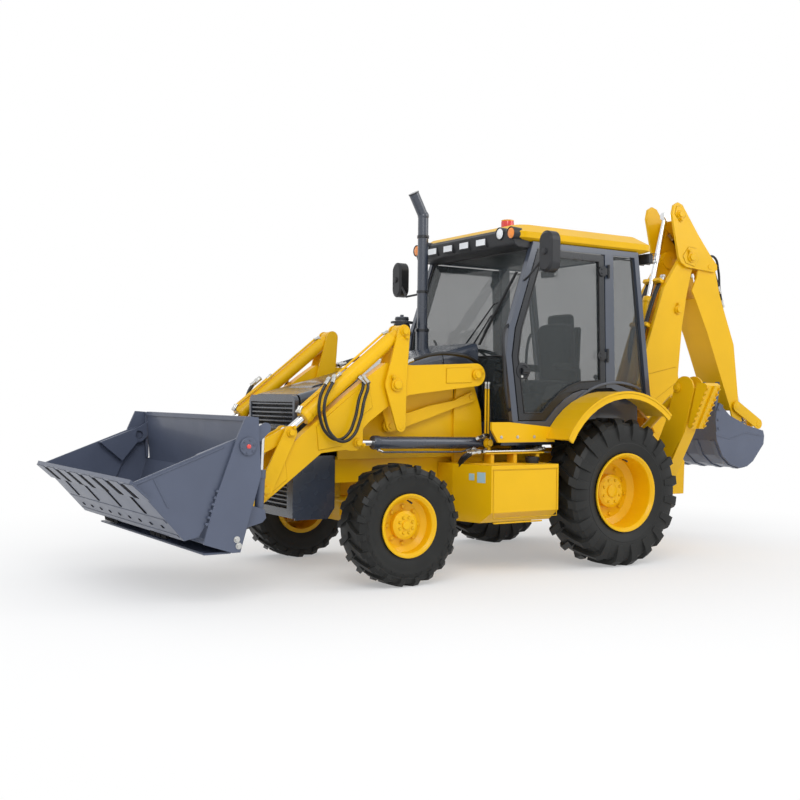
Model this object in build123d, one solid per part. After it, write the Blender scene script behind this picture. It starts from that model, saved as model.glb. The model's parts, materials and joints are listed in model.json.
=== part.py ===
from build123d import *
import math
import os

# Backhoe loader: a rigid-frame tractor with a four-in-one loader bucket in front and a
# slewing digger at the back.  Millimetres.  +X is forward, +Y is left, +Z is up.
# X is measured from the rear axle and Z from the ground.  At the end every piece is moved
# by REAR_AXLE_X, so that the origin lies under the middle of the whole machine.

REAR_AXLE_X = -800.0

# ------------------------------------------------------------------ running gear
WHEELBASE = 2200.0
REAR_TYRE_R = 640.0
REAR_TYRE_W = 430.0
REAR_WHEEL_Y = 875.0
REAR_RIM_R = 340.0
FRONT_TYRE_R = 465.0
FRONT_TYRE_W = 330.0
FRONT_WHEEL_Y = 885.0
FRONT_RIM_R = 245.0
KINGPIN_Y = 780.0
STEER_ARM = 58.0          # from a kingpin forward to the eye of the steering rod
LUG_COUNT = 20
BORE_FLATS = 44
PIN_GAP = 0.5             # radial room of a moving eye on its pin

# ------------------------------------------------------------------ loader, places in (x, z)
ARM_Y = 590.0             # middle of each loader arm, level lever and tilt cylinder
ARM_HALF = 45.0
CHEEK_IN = 64.0           # inner and outer face of the cheek plates beside an arm
CHEEK_OUT = 80.0
ARM_PIVOT = (1296.0, 1636.0)
LEVER_HUB = (2105.0, 1540.0)
LEVER_TOP = (2032.0, 1966.0)
LEVER_LOW = (2055.0, 1210.0)
LEVEL_PIVOT = (1245.0, 1450.0)
LIFT_BASE = (1170.0, 1065.0)
LIFT_EYE = (2433.0, 1084.0)
TIP_PIVOT = (3235.0, 747.0)
TIP_PIN = (3030.0, 1167.0)
BUCKET_PIVOT = (3440.0, 603.0)
BUCKET_EAR = (3430.0, 975.0)
LIFT_BORE_R = 50.0
LIFT_ROD_R = 24.0
LIFT_BARREL_L = 1100.0
TILT_BORE_R = 58.0
TILT_ROD_R = 30.0
TILT_BARREL_L = 1100.0

# ------------------------------------------------------------------ loader bucket
BUCKET_HALF_W = 1140.0
CLAM_HALF_W = 1114.0
SIDE_T = 18.0             # thickness of the bucket's side plates
SHEET_T = 16.0            # thickness of its back and floor
CLAM_PIVOT = (3595.0, 1095.0)
CLAM_EAR = (3430.0, 1217.0)
CLAM_CYL_BASE = (3455.0, 585.0)
CLAM_CYL_Y = 1025.0
CLAM_BORE_R = 32.0
CLAM_ROD_R = 18.0
CLAM_BARREL_L = 340.0

# ------------------------------------------------------------------ digger
SWING_X = -1380.0
BOOM_FOOT = (-1570.0, 800.0)
BOOM_CYL_BASE = (-1320.0, 1000.0)
BOOM_CYL_EYE = (-1570.0, 2354.0)
DIPPER_PIVOT = (-1717.0, 2893.0)
DIPPER_CYL_BASE = (-1060.0, 1450.0)
DIPPER_CYL_EYE = (-1545.0, 3312.0)
BUCKET_CYL_BASE = (-1998.0, 2816.0)
LEVER_PIVOT = (-2437.0, 1382.0)
LEVER_END = (-2770.0, 1200.0)
DIGGER_PIVOT = (-2500.0, 1170.0)
DIGGER_EAR = (-2620.0, 925.0)
BOOM_IN = 115.0           # boom side plates, inner and outer face
BOOM_OUT = 155.0
FORK_IN = 165.0           # dipper head plates and post cheeks
FORK_OUT = 190.0
BOOM_BORE_R = 60.0
BOOM_ROD_R = 32.0
BOOM_BARREL_L = 1200.0
DIPPER_BORE_R = 52.0
DIPPER_ROD_R = 28.0
DIPPER_BARREL_L = 1060.0
DIG_BORE_R = 48.0
DIG_ROD_R = 26.0
DIG_BARREL_L = 1090.0
DIGGER_HALF_W = 390.0

# ------------------------------------------------------------------ stabilisers, places in (y, z)
STAB_FRONT_X = -800.0
STAB_BACK_X = -940.0
STAB_PIVOT = (530.0, 600.0)
STAB_CYL_BASE = (120.0, 920.0)
STAB_CYL_EYE = (900.0, 1560.0)
STAB_BORE_R = 40.0
STAB_ROD_R = 22.0
STAB_BARREL_L = 860.0

# ------------------------------------------------------------------ body
RAIL_IN = 300.0
RAIL_OUT = 380.0
RAIL_LOW = 755.0
RAIL_TOP = 960.0
TOWER_IN = 440.0
TOWER_OUT = 470.0
TOW_HOLE_X = 2560.0       # upright hole of the towing plate
TOW_HOLE_R = 20.0
TOW_PLATE_Z = 640.0
TOW_PLATE_T = 25.0
HOOD_HALF = 415.0
HOOD_HINGE = (2808.0, 1438.0)
HOOD_BACK = 1480.0
HOOD_T = 8.0
HOOD_ROUND = 60.0
CAB_HALF = 770.0
DOOR_HINGE_X = -40.0
DOOR_HINGE_OUT = 16.0     # from the door's outer face to its hinge line
DOOR_T = 32.0
GLASS_T = 6.0


# ================================================================== shape helpers
def box(x_low, x_high, y_low, y_high, z_low, z_high):
    """Block between three pairs of faces."""
    middle = ((x_low + x_high) / 2, (y_low + y_high) / 2, (z_low + z_high) / 2)
    return Pos(*middle) * Box(x_high - x_low, y_high - y_low, z_high - z_low)


def side_plane(y):
    """Plane whose own x is X and own y is Z; extrusion from it goes to lower Y."""
    return Plane(origin=(0, y, 0), x_dir=(1, 0, 0), z_dir=(0, -1, 0))


def plate(points, y_low, y_high):
    """Flat plate with an outline of (x, z) points, between two heights of Y."""
    sheet = side_plane(y_high) * Polygon(*points, align=None)
    return extrude(sheet, amount=y_high - y_low, dir=(0, -1, 0))


def cross_plate(points, x_low, x_high):
    """Flat plate with an outline of (y, z) points, between two heights of X."""
    sheet = Plane(origin=(x_low, 0, 0), x_dir=(0, 1, 0), z_dir=(1, 0, 0))
    return extrude(sheet * Polygon(*points, align=None), amount=x_high - x_low, dir=(1, 0, 0))


def floor_plate(points, z_low, z_high):
    """Flat plate with an outline of (x, y) points, between two heights of Z."""
    sheet = Plane.XY.offset(z_low) * Polygon(*points, align=None)
    return extrude(sheet, amount=z_high - z_low, dir=(0, 0, 1))


def disc(centre, radius, y_low, y_high):
    """Round disc or pin that lies along Y at an (x, z) place."""
    face = side_plane(y_high) * Pos(centre[0], centre[1]) * Circle(radius)
    return extrude(face, amount=y_high - y_low)


def disc_x(centre, radius, x_low, x_high):
    """Round disc or pin that lies along X at a (y, z) place."""
    face = Plane(origin=(x_low, 0, 0), x_dir=(0, 1, 0), z_dir=(1, 0, 0))
    return extrude(face * Pos(*centre) * Circle(radius), amount=x_high - x_low)


def post(x, y, radius, z_low, z_high):
    """Upright round bar."""
    return extrude(Plane.XY.offset(z_low) * Pos(x, y) * Circle(radius), amount=z_high - z_low)


def hull(stations):
    """Outline round neighbouring circles (u, v, radius), like a belt from one to the next."""
    total = None
    for first, second in zip(stations, stations[1:]):
        edges = []
        for u, v, radius in (first, second):
            edges += (Pos(u, v) * Circle(radius)).edges()
        belt = make_hull(edges)
        total = belt if total is None else total + belt
    return total


def lever(stations, y_low, y_high):
    """Rounded lever or link through stations (x, z, radius)."""
    return extrude(side_plane(y_high) * hull(stations), amount=y_high - y_low, dir=(0, -1, 0))


def band(points, thickness):
    """Closed outline of a bent sheet: the given line and its copy to the left of it."""
    lines = []
    for (u1, v1), (u2, v2) in zip(points, points[1:]):
        length = math.hypot(u2 - u1, v2 - v1)
        shift = (-(v2 - v1) / length * thickness, (u2 - u1) / length * thickness)
        lines.append(((u1 + shift[0], v1 + shift[1]), (u2 + shift[0], v2 + shift[1])))
    inner = [lines[0][0]]
    for (a, b), (c, d) in zip(lines, lines[1:]):
        cross = (b[0] - a[0]) * (d[1] - c[1]) - (b[1] - a[1]) * (d[0] - c[0])
        along = ((c[0] - a[0]) * (d[1] - c[1]) - (c[1] - a[1]) * (d[0] - c[0])) / cross
        inner.append((a[0] + along * (b[0] - a[0]), a[1] + along * (b[1] - a[1])))
    inner.append(lines[-1][1])
    return list(points) + inner[::-1]


def arc_points(centre, radius, start, end, count):
    """Points on an arc, from one angle to another in degrees."""
    steps = [math.radians(start + (end - start) * i / (count - 1)) for i in range(count)]
    return [(centre[0] + radius * math.cos(a), centre[1] + radius * math.sin(a)) for a in steps]


def both(shape):
    """The shape and its mirror image on the other side of the machine."""
    return shape + mirror(shape, about=Plane.XZ)


def pair(maker, half_in, half_out):
    """Two like plates, one each side of the arm's middle, on both sides of the machine."""
    one = maker(ARM_Y + half_in, ARM_Y + half_out) + maker(ARM_Y - half_out, ARM_Y - half_in)
    return both(one)


def point_at(start, end, distance):
    """The (u, v) place that far along the line from start to end."""
    length = math.hypot(end[0] - start[0], end[1] - start[1])
    share = distance / length
    return (start[0] + (end[0] - start[0]) * share, start[1] + (end[1] - start[1]) * share)


def tube(start, end, outer, inner=0.0):
    """Round bar, or tube with a bore, from one (x, y, z) place to another."""
    a = Vector(*start)
    b = Vector(*end)
    ring = Circle(outer) if inner == 0.0 else Circle(outer) - Circle(inner)
    return extrude(Plane(origin=a, z_dir=b - a) * ring, amount=(b - a).length)


def side_tube(start, end, y, outer, inner=0.0):
    """Round bar or tube between two (x, z) places at one height of Y."""
    return tube((start[0], y, start[1]), (end[0], y, end[1]), outer, inner)


def ram_barrel(base, eye, y, outer, bore, length, eye_r, eye_half, pin_r):
    """Cylinder barrel: bored eye at its base, closed tail, long bored tube."""
    tail = point_at(base, eye, eye_r * 0.7)
    floor = point_at(base, eye, eye_r + 40)
    mouth = point_at(base, eye, length)
    body = disc(base, eye_r, y - eye_half, y + eye_half)
    body += side_tube(tail, floor, y, outer * 0.8)
    body -= disc(base, pin_r + PIN_GAP, y - eye_half - 1, y + eye_half + 1)
    body += side_tube(floor, mouth, y, outer, bore)
    gland = point_at(base, eye, length - 60)
    body += side_tube(gland, mouth, y, outer + 4, bore)
    return body


def ram_rod(base, eye, y, radius, inside, eye_r, eye_half):
    """Piston rod with a solid eye at its tip; inside is how far it starts from the base."""
    foot = point_at(base, eye, inside)
    return side_tube(foot, eye, y, radius) + disc(eye, eye_r, y - eye_half, y + eye_half)


# ================================================================== wheels
def wheel_place(x, shape):
    """Move a wheel made round the Y axis at X = 0 to its axle."""
    radius = REAR_TYRE_R if x == 0 else FRONT_TYRE_R
    return Pos(x, 0, radius) * shape


def lug_ring(y, tip_r, root_r, turn):
    """Toothed outline across the wheel: four corners for each lug, straight flats between."""
    step = 360 / LUG_COUNT
    corners = []
    for lug in range(LUG_COUNT):
        for share, radius in ((0.0, root_r), (0.10, tip_r), (0.46, tip_r), (0.56, root_r)):
            angle = math.radians(-90 + turn + (lug + share - 0.1) * step)
            corners.append(Vector(radius * math.cos(angle), y, radius * math.sin(angle)))
    return corners


def facet(*corners):
    """Flat face between three or more corners."""
    return Face(Wire.make_polygon(corners, close=True))


def lug_row(rings):
    """Closed solid through like outlines, with flat triangles between neighbouring ones."""
    faces = [facet(*rings[0]), facet(*rings[-1])]
    for near, far in zip(rings, rings[1:]):
        for i in range(len(near)):
            k = i - 1
            faces += [facet(near[k], near[i], far[i]), facet(near[k], far[i], far[k])]
    return Solid(Shell(faces))


def tyre(x, middle, radius, width, rim_r, lug_depth, shoulder):
    """Tyre with two rows of lugs, one half a step behind the other, for the left side."""
    half = width / 2
    bead = rim_r - 20
    root = radius - lug_depth
    # (share of the half width, radius at the lugs' tips, radius between them)
    stations = [(0.0, radius, root), (shoulder, radius, root), (1.0, radius - 75, radius - 75),
                (0.82, bead, bead)]
    rows = None
    for side, turn in ((1, 0.0), (-1, 180 / LUG_COUNT)):
        rings = [lug_ring(middle + side * share * half, tip, low, turn) for share, tip, low in stations]
        row = lug_row(rings)
        rows = row if rows is None else rows + row
    bore = side_plane(middle + half) * RegularPolygon(bead, BORE_FLATS, major_radius=False)
    rows -= extrude(bore, amount=width, dir=(0, -1, 0))
    return wheel_place(x, rows)


def rim(x, middle, radius, width, dish, hub_r, hub_in, hub_out):
    """Rim with flanges, dished disc and closed hub, for the left side."""
    half = width / 2
    bead = radius - 20.3
    wall = bead - 16
    # (radius, distance from the wheel's middle)
    barrel = [(wall, -half * 0.95), (radius, -half * 0.95), (radius, -half * 0.86), (bead, -half * 0.825),
              (bead, half * 0.825), (radius, half * 0.88), (radius, half * 0.95), (radius - 12, half * 0.95),
              (wall + 3, half * 0.85), (wall, half * 0.80)]
    plate_in = dish - middle
    plate_out = plate_in + 18
    wheel_disc = [(hub_r - 10, plate_in), (wall * 0.82, plate_in), (wall + 5, plate_in + 32),
                  (wall + 5, plate_out + 32), (wall * 0.80, plate_out), (hub_r - 10, plate_out)]
    bore = 50.5
    cap_in = hub_out - 30 - middle
    hub = [(bore, hub_in - middle), (hub_r, hub_in - middle), (hub_r, hub_out - 12 - middle),
           (hub_r - 25, hub_out - middle), (0, hub_out - middle), (0, cap_in), (bore, cap_in)]
    shape = None
    for outline in (barrel, wheel_disc, hub):
        face = Plane.XY * Polygon(*[(r, middle + d) for r, d in outline], align=None)
        ring = revolve(face, Axis.Y, 360)
        shape = ring if shape is None else shape + ring
    return wheel_place(x, shape)


REAR_TYRE = tyre(0, REAR_WHEEL_Y, REAR_TYRE_R, REAR_TYRE_W, REAR_RIM_R, 34, 0.76)
FRONT_TYRE = tyre(WHEELBASE, FRONT_WHEEL_Y, FRONT_TYRE_R, FRONT_TYRE_W, FRONT_RIM_R, 20, 0.84)
REAR_RIM = rim(0, REAR_WHEEL_Y, REAR_RIM_R, REAR_TYRE_W, 812, 144, 806, 898)
FRONT_RIM = rim(WHEELBASE, FRONT_WHEEL_Y, FRONT_RIM_R, FRONT_TYRE_W, 908, 111, 898, 984)


def knuckle():
    """Left steering knuckle: yoke over and under the axle end, spindle, kingpin, arm."""
    z = FRONT_TYRE_R
    body = box(WHEELBASE - 90, WHEELBASE + 90, 850, 880, z - 132, z + 132)
    for low, high in ((z + 92, z + 107), (z - 122, z - 92)):
        yoke = floor_plate([(WHEELBASE - 50, KINGPIN_Y), (WHEELBASE + 50, KINGPIN_Y),
                            (WHEELBASE + 80, 855), (WHEELBASE - 80, 855)], low, high)
        body += yoke + post(WHEELBASE, KINGPIN_Y, 50, low, high)
    arm = hull([(WHEELBASE, KINGPIN_Y, 40), (WHEELBASE + STEER_ARM, KINGPIN_Y, 24)])
    body += extrude(Plane.XY.offset(z + 92) * arm, amount=15, dir=(0, 0, 1))
    body += post(WHEELBASE, KINGPIN_Y, 25, z - 125, z + 112)
    body += disc((WHEELBASE, z), 50, 875, 945)
    return body


def steering_rod():
    """Rod of the steering cylinder, with an eye over each knuckle's arm."""
    x = WHEELBASE + STEER_ARM
    z = FRONT_TYRE_R + 127
    rod = tube((x, -KINGPIN_Y, z), (x, KINGPIN_Y, z), 15)
    for y in (-KINGPIN_Y, KINGPIN_Y):
        rod += post(x, y, 22, z - 14, z + 14)
    return rod


def axles():
    """Front beam on its centre block with the steering cylinder, and the rear axle."""
    z = FRONT_TYRE_R
    front = box(WHEELBASE - 60, WHEELBASE + 60, -730, 730, z - 55, z + 55)
    for y in (-KINGPIN_Y, KINGPIN_Y):
        front += post(WHEELBASE, y, 55, z - 86, z + 86)
        front -= post(WHEELBASE, y, 25 + PIN_GAP, z - 90, z + 90)
    front += box(WHEELBASE - 90, WHEELBASE + 90, -110, 110, z, RAIL_LOW)
    x = WHEELBASE + STEER_ARM
    front += tube((x, -210, z + 127), (x, 210, z + 127), 38)
    front -= tube((x, -215, z + 127), (x, 215, z + 127), 16)
    rear = tube((0, -700, REAR_TYRE_R), (0, 700, REAR_TYRE_R), 85)
    rear += Pos(0, 0, REAR_TYRE_R) * Sphere(190)
    for low in (-RAIL_OUT, RAIL_IN):
        rear += box(-90, 90, low, low + 80, REAR_TYRE_R, RAIL_LOW)
    rear += both(disc((0, REAR_TYRE_R), 120, 640, 800) + disc((0, REAR_TYRE_R), 50, 780, 860))
    return [front, rear]


# ================================================================== chassis
SWING_LUGS = (440.0, 740.0)          # undersides of the two lugs that hold the swing post


def main_frame():
    """Rails with cross members, the towing plate, the loader towers and the sheets beside the hood."""
    body = both(box(STAB_FRONT_X + 35, 2600, RAIL_IN, RAIL_OUT, RAIL_LOW, RAIL_TOP))
    # cross members (x_low, x_high, z_low, z_high)
    members = ((350, 450, 780, 900), (WHEELBASE - 90, WHEELBASE + 90, RAIL_LOW, 900), (2500, 2600, 780, 940),
               (-400, -300, 780, 900))
    for x_low, x_high, z_low, z_high in members:
        body += box(x_low, x_high, -RAIL_IN - 5, RAIL_IN + 5, z_low, z_high)
    # towing plate below the front cross member
    body += box(TOW_HOLE_X - 60, TOW_HOLE_X - 40, -90, 90, TOW_PLATE_Z, 790)
    body += box(TOW_HOLE_X - 60, TOW_HOLE_X + 55, -90, 90, TOW_PLATE_Z, TOW_PLATE_Z + TOW_PLATE_T)
    body -= post(TOW_HOLE_X, 0, TOW_HOLE_R, TOW_PLATE_Z - 1, TOW_PLATE_Z + TOW_PLATE_T + 1)
    # loader towers
    body += box(1120, 1360, -TOWER_IN - 5, TOWER_IN + 5, RAIL_TOP - 40, RAIL_TOP + 70)
    tower = plate([(1090, 900), (1400, 900), (1400, 1330), (1365, 1640), (1330, 1700), (1262, 1700),
                   (1226, 1640), (1120, 1330)], TOWER_IN, TOWER_OUT)
    tower += disc(ARM_PIVOT, 34, TOWER_IN, ARM_Y + ARM_HALF + 12)
    tower += disc(ARM_PIVOT, 56, TOWER_OUT - 5, TOWER_OUT + 3)
    tower += disc(ARM_PIVOT, 56, 508, ARM_Y - ARM_HALF - 2)
    tower += disc(LEVEL_PIVOT, 22, TOWER_IN, 508)
    tower += disc(LIFT_BASE, 30, TOWER_IN, ARM_Y + 60)
    tower += disc(LIFT_BASE, 50, TOWER_OUT - 5, ARM_Y - 50)
    tower += disc(LIFT_BASE, 46, ARM_Y + 50, ARM_Y + 60)
    # sheet beside the hood, on a shelf along the rail
    tower += plate([(1390, 945), (2500, 945), (2500, 1230), (2100, 1450), (1390, 1562)], 427, 443)
    tower += box(1395, 2495, RAIL_OUT - 5, 430, 942, 958)
    return [body + both(tower)]


def rear_frame():
    """Housing of the stabilisers across the machine, and the digger frame with its swing lugs."""
    walls = [(-575, 545), (-400, 455), (400, 455), (575, 545), (575, 700), (440, 1120), (-440, 1120),
             (-575, 700)]
    front_x = STAB_FRONT_X + 15
    back_x = STAB_BACK_X - 15
    body = cross_plate(walls, front_x, front_x + 20)
    body += cross_plate(walls, back_x - 20, back_x)
    body += box(back_x - 10, front_x + 10, -400, 400, 455, 505)
    body += box(back_x - 10, front_x + 10, -60, 60, 460, 1120)
    for side in (-1, 1):
        pivot = (side * STAB_PIVOT[0], STAB_PIVOT[1])
        base = (side * STAB_CYL_BASE[0], STAB_CYL_BASE[1])
        body += disc_x(pivot, 36, STAB_FRONT_X - 16, front_x + 12)
        body += disc_x(pivot, 36, back_x - 12, STAB_BACK_X + 16)
        body += disc_x(base, 25, back_x - 5, front_x + 5)
    body += box(-1170, back_x - 10, -330, 330, 440, 500)
    body += box(-1170, -1140, -330, 330, 440, 1120)
    body += both(box(-1145, back_x - 10, 300, 330, 440, 1120))
    for z_low in SWING_LUGS:
        lug = [(SWING_X, -80), (-1182, -80), (-1150, -150), (-1150, 150), (-1182, 80), (SWING_X, 80)]
        body += floor_plate(lug, z_low, z_low + 50) + post(SWING_X, 0, 80, z_low, z_low + 50)
    return [body + post(SWING_X, 0, 35, 440, 800)]


def engine():
    """Engine and gearbox as one block, with the exhaust stack and the air pre-cleaner."""
    block = box(1560, 2420, -270, 270, 905, 1380) + box(1600, 2080, -200, 200, 740, 910)
    block += box(235, 1620, -180, 180, 480, 770) + disc_x((0, REAR_TYRE_R), 70, 196, 240)
    block += disc_x((0, 560), 30, 1610, 2105)
    mounts = box(1700, 1800, -299.5, 299.5, 910, 950) + box(2300, 2400, -299.5, 299.5, 910, 950)
    stack = tube((1220, -300, 1560), (1220, -300, 2070), 58)
    stack += tube((1220, -300, 2065), (1220, -300, 3090), 48)
    bend = Pos(1220, -300, 3090) * Sphere(52)
    stack += bend + tube((1220, -300, 3090), (1330, -300, 3290), 47)
    muffler = tube((1330, -300, 1380), (1330, -300, 1640), 95)
    pipe = box(1200, 1600, -330, -270, 1330, 1390) + tube((1220, -300, 1340), (1220, -300, 1570), 42)
    # pre-cleaner: pipe, pot, wide brim and low dome (radius, z_low, z_high)
    cleaner = box(1400, 1600, -345, -315, 1340, 1380)
    for radius, z_low, z_high in ((30, 1345, 1570), (50, 1560, 2010), (70, 2000, 2110), (98, 2105, 2125),
                                  (60, 2120, 2165), (16, 2160, 2185)):
        cleaner += post(1420, -330, radius, z_low, z_high)
    return [block + mounts + muffler + pipe + stack + cleaner]


def hood_top(x):
    """Height of the sloping hood at a place X."""
    return 1453 + (2830 - x) * 0.27


def round_top(body, half, radius):
    """The body with its two upper edges along the machine rounded."""
    edges = [e for e in body.edges()
             if abs(abs(e.center().Y) - half) < 1 and e.length > 300 and abs((e @ 1 - e @ 0).X) > 300
             and e.center().Z > 1300]
    return fillet(edges, radius)


def nose_panels():
    """Radiator front with grille, side skirts, and the fixed cowl in front of the cab."""
    front = 2872.0
    back = 2832.0
    corner = arc_points((HOOD_HALF - HOOD_ROUND, 1450 - HOOD_ROUND), HOOD_ROUND, 0, 90, 6)
    half_face = [(HOOD_HALF - 15, 490), (HOOD_HALF - 15, 1100), (HOOD_HALF, 1130)] + corner
    face = cross_plate(half_face + [(-y, z) for y, z in half_face[::-1]], back, front)
    # openings of the front (y_low, y_high, z_low, z_high)
    for y_low, y_high, z_low, z_high in ((-380, 380, 1215, 1395), (-300, 300, 560, 750)):
        face -= box(back + 12, front + 1, y_low, y_high, z_low, z_high)
    bars = None
    for index in range(5):
        z = 1238 + index * 34
        bar = box(back + 8, front - 6, -385, 385, z, z + 12)
        bars = bar if bars is None else bars + bar
    for index in range(5):
        z = 584 + index * 34
        bars += box(back + 8, front - 6, -305, 305, z, z + 12)
    skirt = plate([(2500, 560), (2560, 475), (2850, 475), (2850, 975), (2500, 975)], 384, 400)
    radiator = box(2560, 2800, -280, 280, 950, 1330)
    ties = box(2605, 2840, -398, 398, 930, 962)
    lug = box(HOOD_HINGE[0], back + 5, 203, 213, 1416, HOOD_HINGE[1] - 4)
    lugs = both(disc(HOOD_HINGE, 8, 203, 213) + lug)
    nose = face + bars + both(skirt) + radiator + ties + lugs + box(2780, 2840, -280, 280, 950, 1330)
    cowl_top = [(1115, hood_top(1115)), (1472, hood_top(1472)), (1472, 1180), (1115, 1180)]
    cowl = round_top(plate(cowl_top, -HOOD_HALF, HOOD_HALF), HOOD_HALF, HOOD_ROUND)
    hollow = [(1100, hood_top(1100) - 12), (1500, hood_top(1500) - 12), (1500, 1100), (1100, 1100)]
    cowl -= round_top(plate(hollow, -HOOD_HALF + 10, HOOD_HALF - 10), HOOD_HALF - 10, HOOD_ROUND - 10)
    cowl -= post(1220, -300, 64, 1500, 2000) + post(1420, -330, 56, 1500, 2000)
    cowl += both(box(1200, 1300, 380, HOOD_HALF - 5, 1030, 1190))
    return [nose, cowl]


def hood():
    """Lifting hood: top and sides, open below, in front and behind; it is hinged in front."""
    front = 2818.0
    # the lower rear corner stands forward, to pass the cowl as the hood lifts
    outer = [(HOOD_BACK, hood_top(HOOD_BACK)), (front, hood_top(front)), (front, 1110),
             (HOOD_BACK + 36, 1180)]
    shell = round_top(plate(outer, -HOOD_HALF, HOOD_HALF), HOOD_HALF, HOOD_ROUND)
    inner = [(HOOD_BACK - 10, hood_top(HOOD_BACK - 10) - HOOD_T), (front + 10, hood_top(front + 10) - HOOD_T),
             (front + 10, 1000), (HOOD_BACK - 10, 1000)]
    inside = HOOD_HALF - HOOD_T
    shell -= round_top(plate(inner, -inside, inside), inside, HOOD_ROUND - HOOD_T)
    return [shell + both(disc(HOOD_HINGE, 14, 150, 200))]


def side_tanks():
    """Fuel tank on the left and battery box on the right, used as steps."""
    outline = [(700, 384), (700, 1000), (1400, 1000), (1500, 600), (1500, 384)]
    tank = floor_plate(outline, 430, 900)
    tank -= cross_plate([(880, 429), (1001, 520), (1001, 429)], 690, 1510)
    return [tank, mirror(tank, about=Plane.XZ)]


FENDER_CENTRE = (-8.0, 743.0)
FENDER_R = 770.0
ARCH_CENTRE = (-162.0, 822.0)
ARCH_R = 761.0


def fenders():
    """Rear mudguards, broad arcs with a down-turned outer edge, and the sills below the doors."""
    crown = plate(band(arc_points(FENDER_CENTRE, FENDER_R, 133, 28, 14), -14), 776, 1085)
    edge = plate(band(arc_points(FENDER_CENTRE, FENDER_R, 133, 28, 14), -60), 1071, 1090)
    sill = plate([(575, 1075), (1180, 1075), (1250, 1180), (1250, 1244), (1060, 1244), (600, 1200)], 776, 800)
    side = crown + edge + sill
    return [side, mirror(side, about=Plane.XZ)]


# ================================================================== cab
CAB_FLOOR = 1040.0
CAB_HEAD = 2760.0
A_PILLAR = [(1010, 1245), (1090, 1800), (1058, 2044), (812, CAB_HEAD)]      # front edge
REAR_EDGE = [(-590, 1475), (-412, CAB_HEAD)]
B_PILLAR = [(-145, 1545), (-40, 1545), (-5, CAB_HEAD), (-105, CAB_HEAD)]
DOOR_FOOT = [(-32, 1542), (250, 1530), (355, 1499), (460, 1440), (560, 1360), (662, 1258)]
DOOR_OUTLINE = DOOR_FOOT + [(940, 1258), (1018, 1795), (986, 2030), (756, 2716), (8, 2716)]
DOOR_WINDOW = [(35, 1610), (270, 1596), (390, 1560), (505, 1495), (615, 1405), (700, 1325), (885, 1325),
               (955, 1795), (925, 2015), (710, 2655), (70, 2655)]


def cab_frame():
    """Floor, lower walls, wheel housings, pillars and head rails, open where windows are."""
    tub = box(-560, 1010, -615, 615, CAB_FLOOR, CAB_FLOOR + 25)
    for side in (-1, 1):
        y_low, y_high = sorted((side * 595, side * 615))
        tub += box(-560, 600, y_low, y_high, CAB_FLOOR, 1240)
        tub += box(-560, 300, y_low, y_high, 1200, 1440)
    # wheel housings, and the side panel between each arch and the door's foot
    y_in = CAB_HALF - 50
    arch = arc_points(ARCH_CENTRE, ARCH_R, 121, 22, 14)
    housing = plate(band(arch, 14), 595, CAB_HALF)
    panel = plate(arch + [(640, 1110), (1000, 1110), (1000, 1250), (654, 1250)]
                  + [(x - 6, z - 8) for x, z in DOOR_FOOT[-2::-1]] + [(-590, 1480)], y_in, CAB_HALF)
    sill = box(640, 1075, 600, CAB_HALF, CAB_FLOOR + 30, 1240)
    frame = both(housing + panel + sill)
    frame += box(980, 1075, -CAB_HALF, CAB_HALF, CAB_FLOOR + 30, 1240)
    frame += tub
    # side pillars, head rail and rear quarter, in the plane of the side
    a_pillar = plate(band(A_PILLAR[::-1], -60), y_in, CAB_HALF)
    b_pillar = plate(B_PILLAR, y_in, CAB_HALF)
    rear = plate([(-590, 1440), (-540, 1440), (-360, CAB_HEAD), (-412, CAB_HEAD)], y_in - 10, CAB_HALF)
    rail = box(-412, 812, y_in, CAB_HALF, 2725, CAB_HEAD + 15)
    quarter = plate([(-590, 1475), (-110, 1590), (-110, 1540), (-400, 1440), (-590, 1400)], y_in, CAB_HALF)
    frame += both(a_pillar + b_pillar + rear + rail + quarter)
    frame += box(770, 812, -CAB_HALF, CAB_HALF, 2725, CAB_HEAD + 15)
    frame += box(-412, -362, -CAB_HALF, CAB_HALF, 2725, CAB_HEAD + 15)
    frame += box(-600, -560, -CAB_HALF + 4, CAB_HALF - 4, 1440, 1480)
    frame += box(-575, -555, -615, 615, CAB_FLOOR, 1480)
    # mounts down to the rails
    for x in (-450, 600):
        frame += both(box(x - 50, x + 50, RAIL_IN, RAIL_OUT, RAIL_TOP, CAB_FLOOR + 5))
    return [frame]


def cab_roof():
    """Moulded roof with the lamp panel under its front edge."""
    sections = []
    # (z, x_back, x_front, half width, corner radius)
    for z, x_back, x_front, half, corner in ((2776, -520, 860, 740, 60), (2800, -600, 985, 790, 110),
                                             (2850, -600, 1000, 800, 120), (2925, -500, 905, 700, 120)):
        outline = Pos((x_back + x_front) / 2, 0) * RectangleRounded(x_front - x_back, 2 * half, corner)
        sections.append(Plane.XY.offset(z) * outline)
    roof = loft(sections, ruled=True)
    panel = box(860, 940, -700, 700, 2772, 2830)
    body = roof + panel
    # work lamps (y) and round lamps (y, z)
    for y in (-450, -200, 50, 300):
        body += box(930, 985, y - 75, y + 75, 2765, 2825)
    for y, z in ((565, 2845), (-565, 2845), (720, 2835), (-720, 2835)):
        body += disc_x((y, z), 48, 900, 1010)
    body += post(760, 350, 55, 2900, 3010)
    return [body]


# middle of each mirror head (y, z), left then right
MIRROR_X = 905.0
MIRRORS = ((1100.0, 2645.0), (1166.0, 2600.0))


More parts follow.
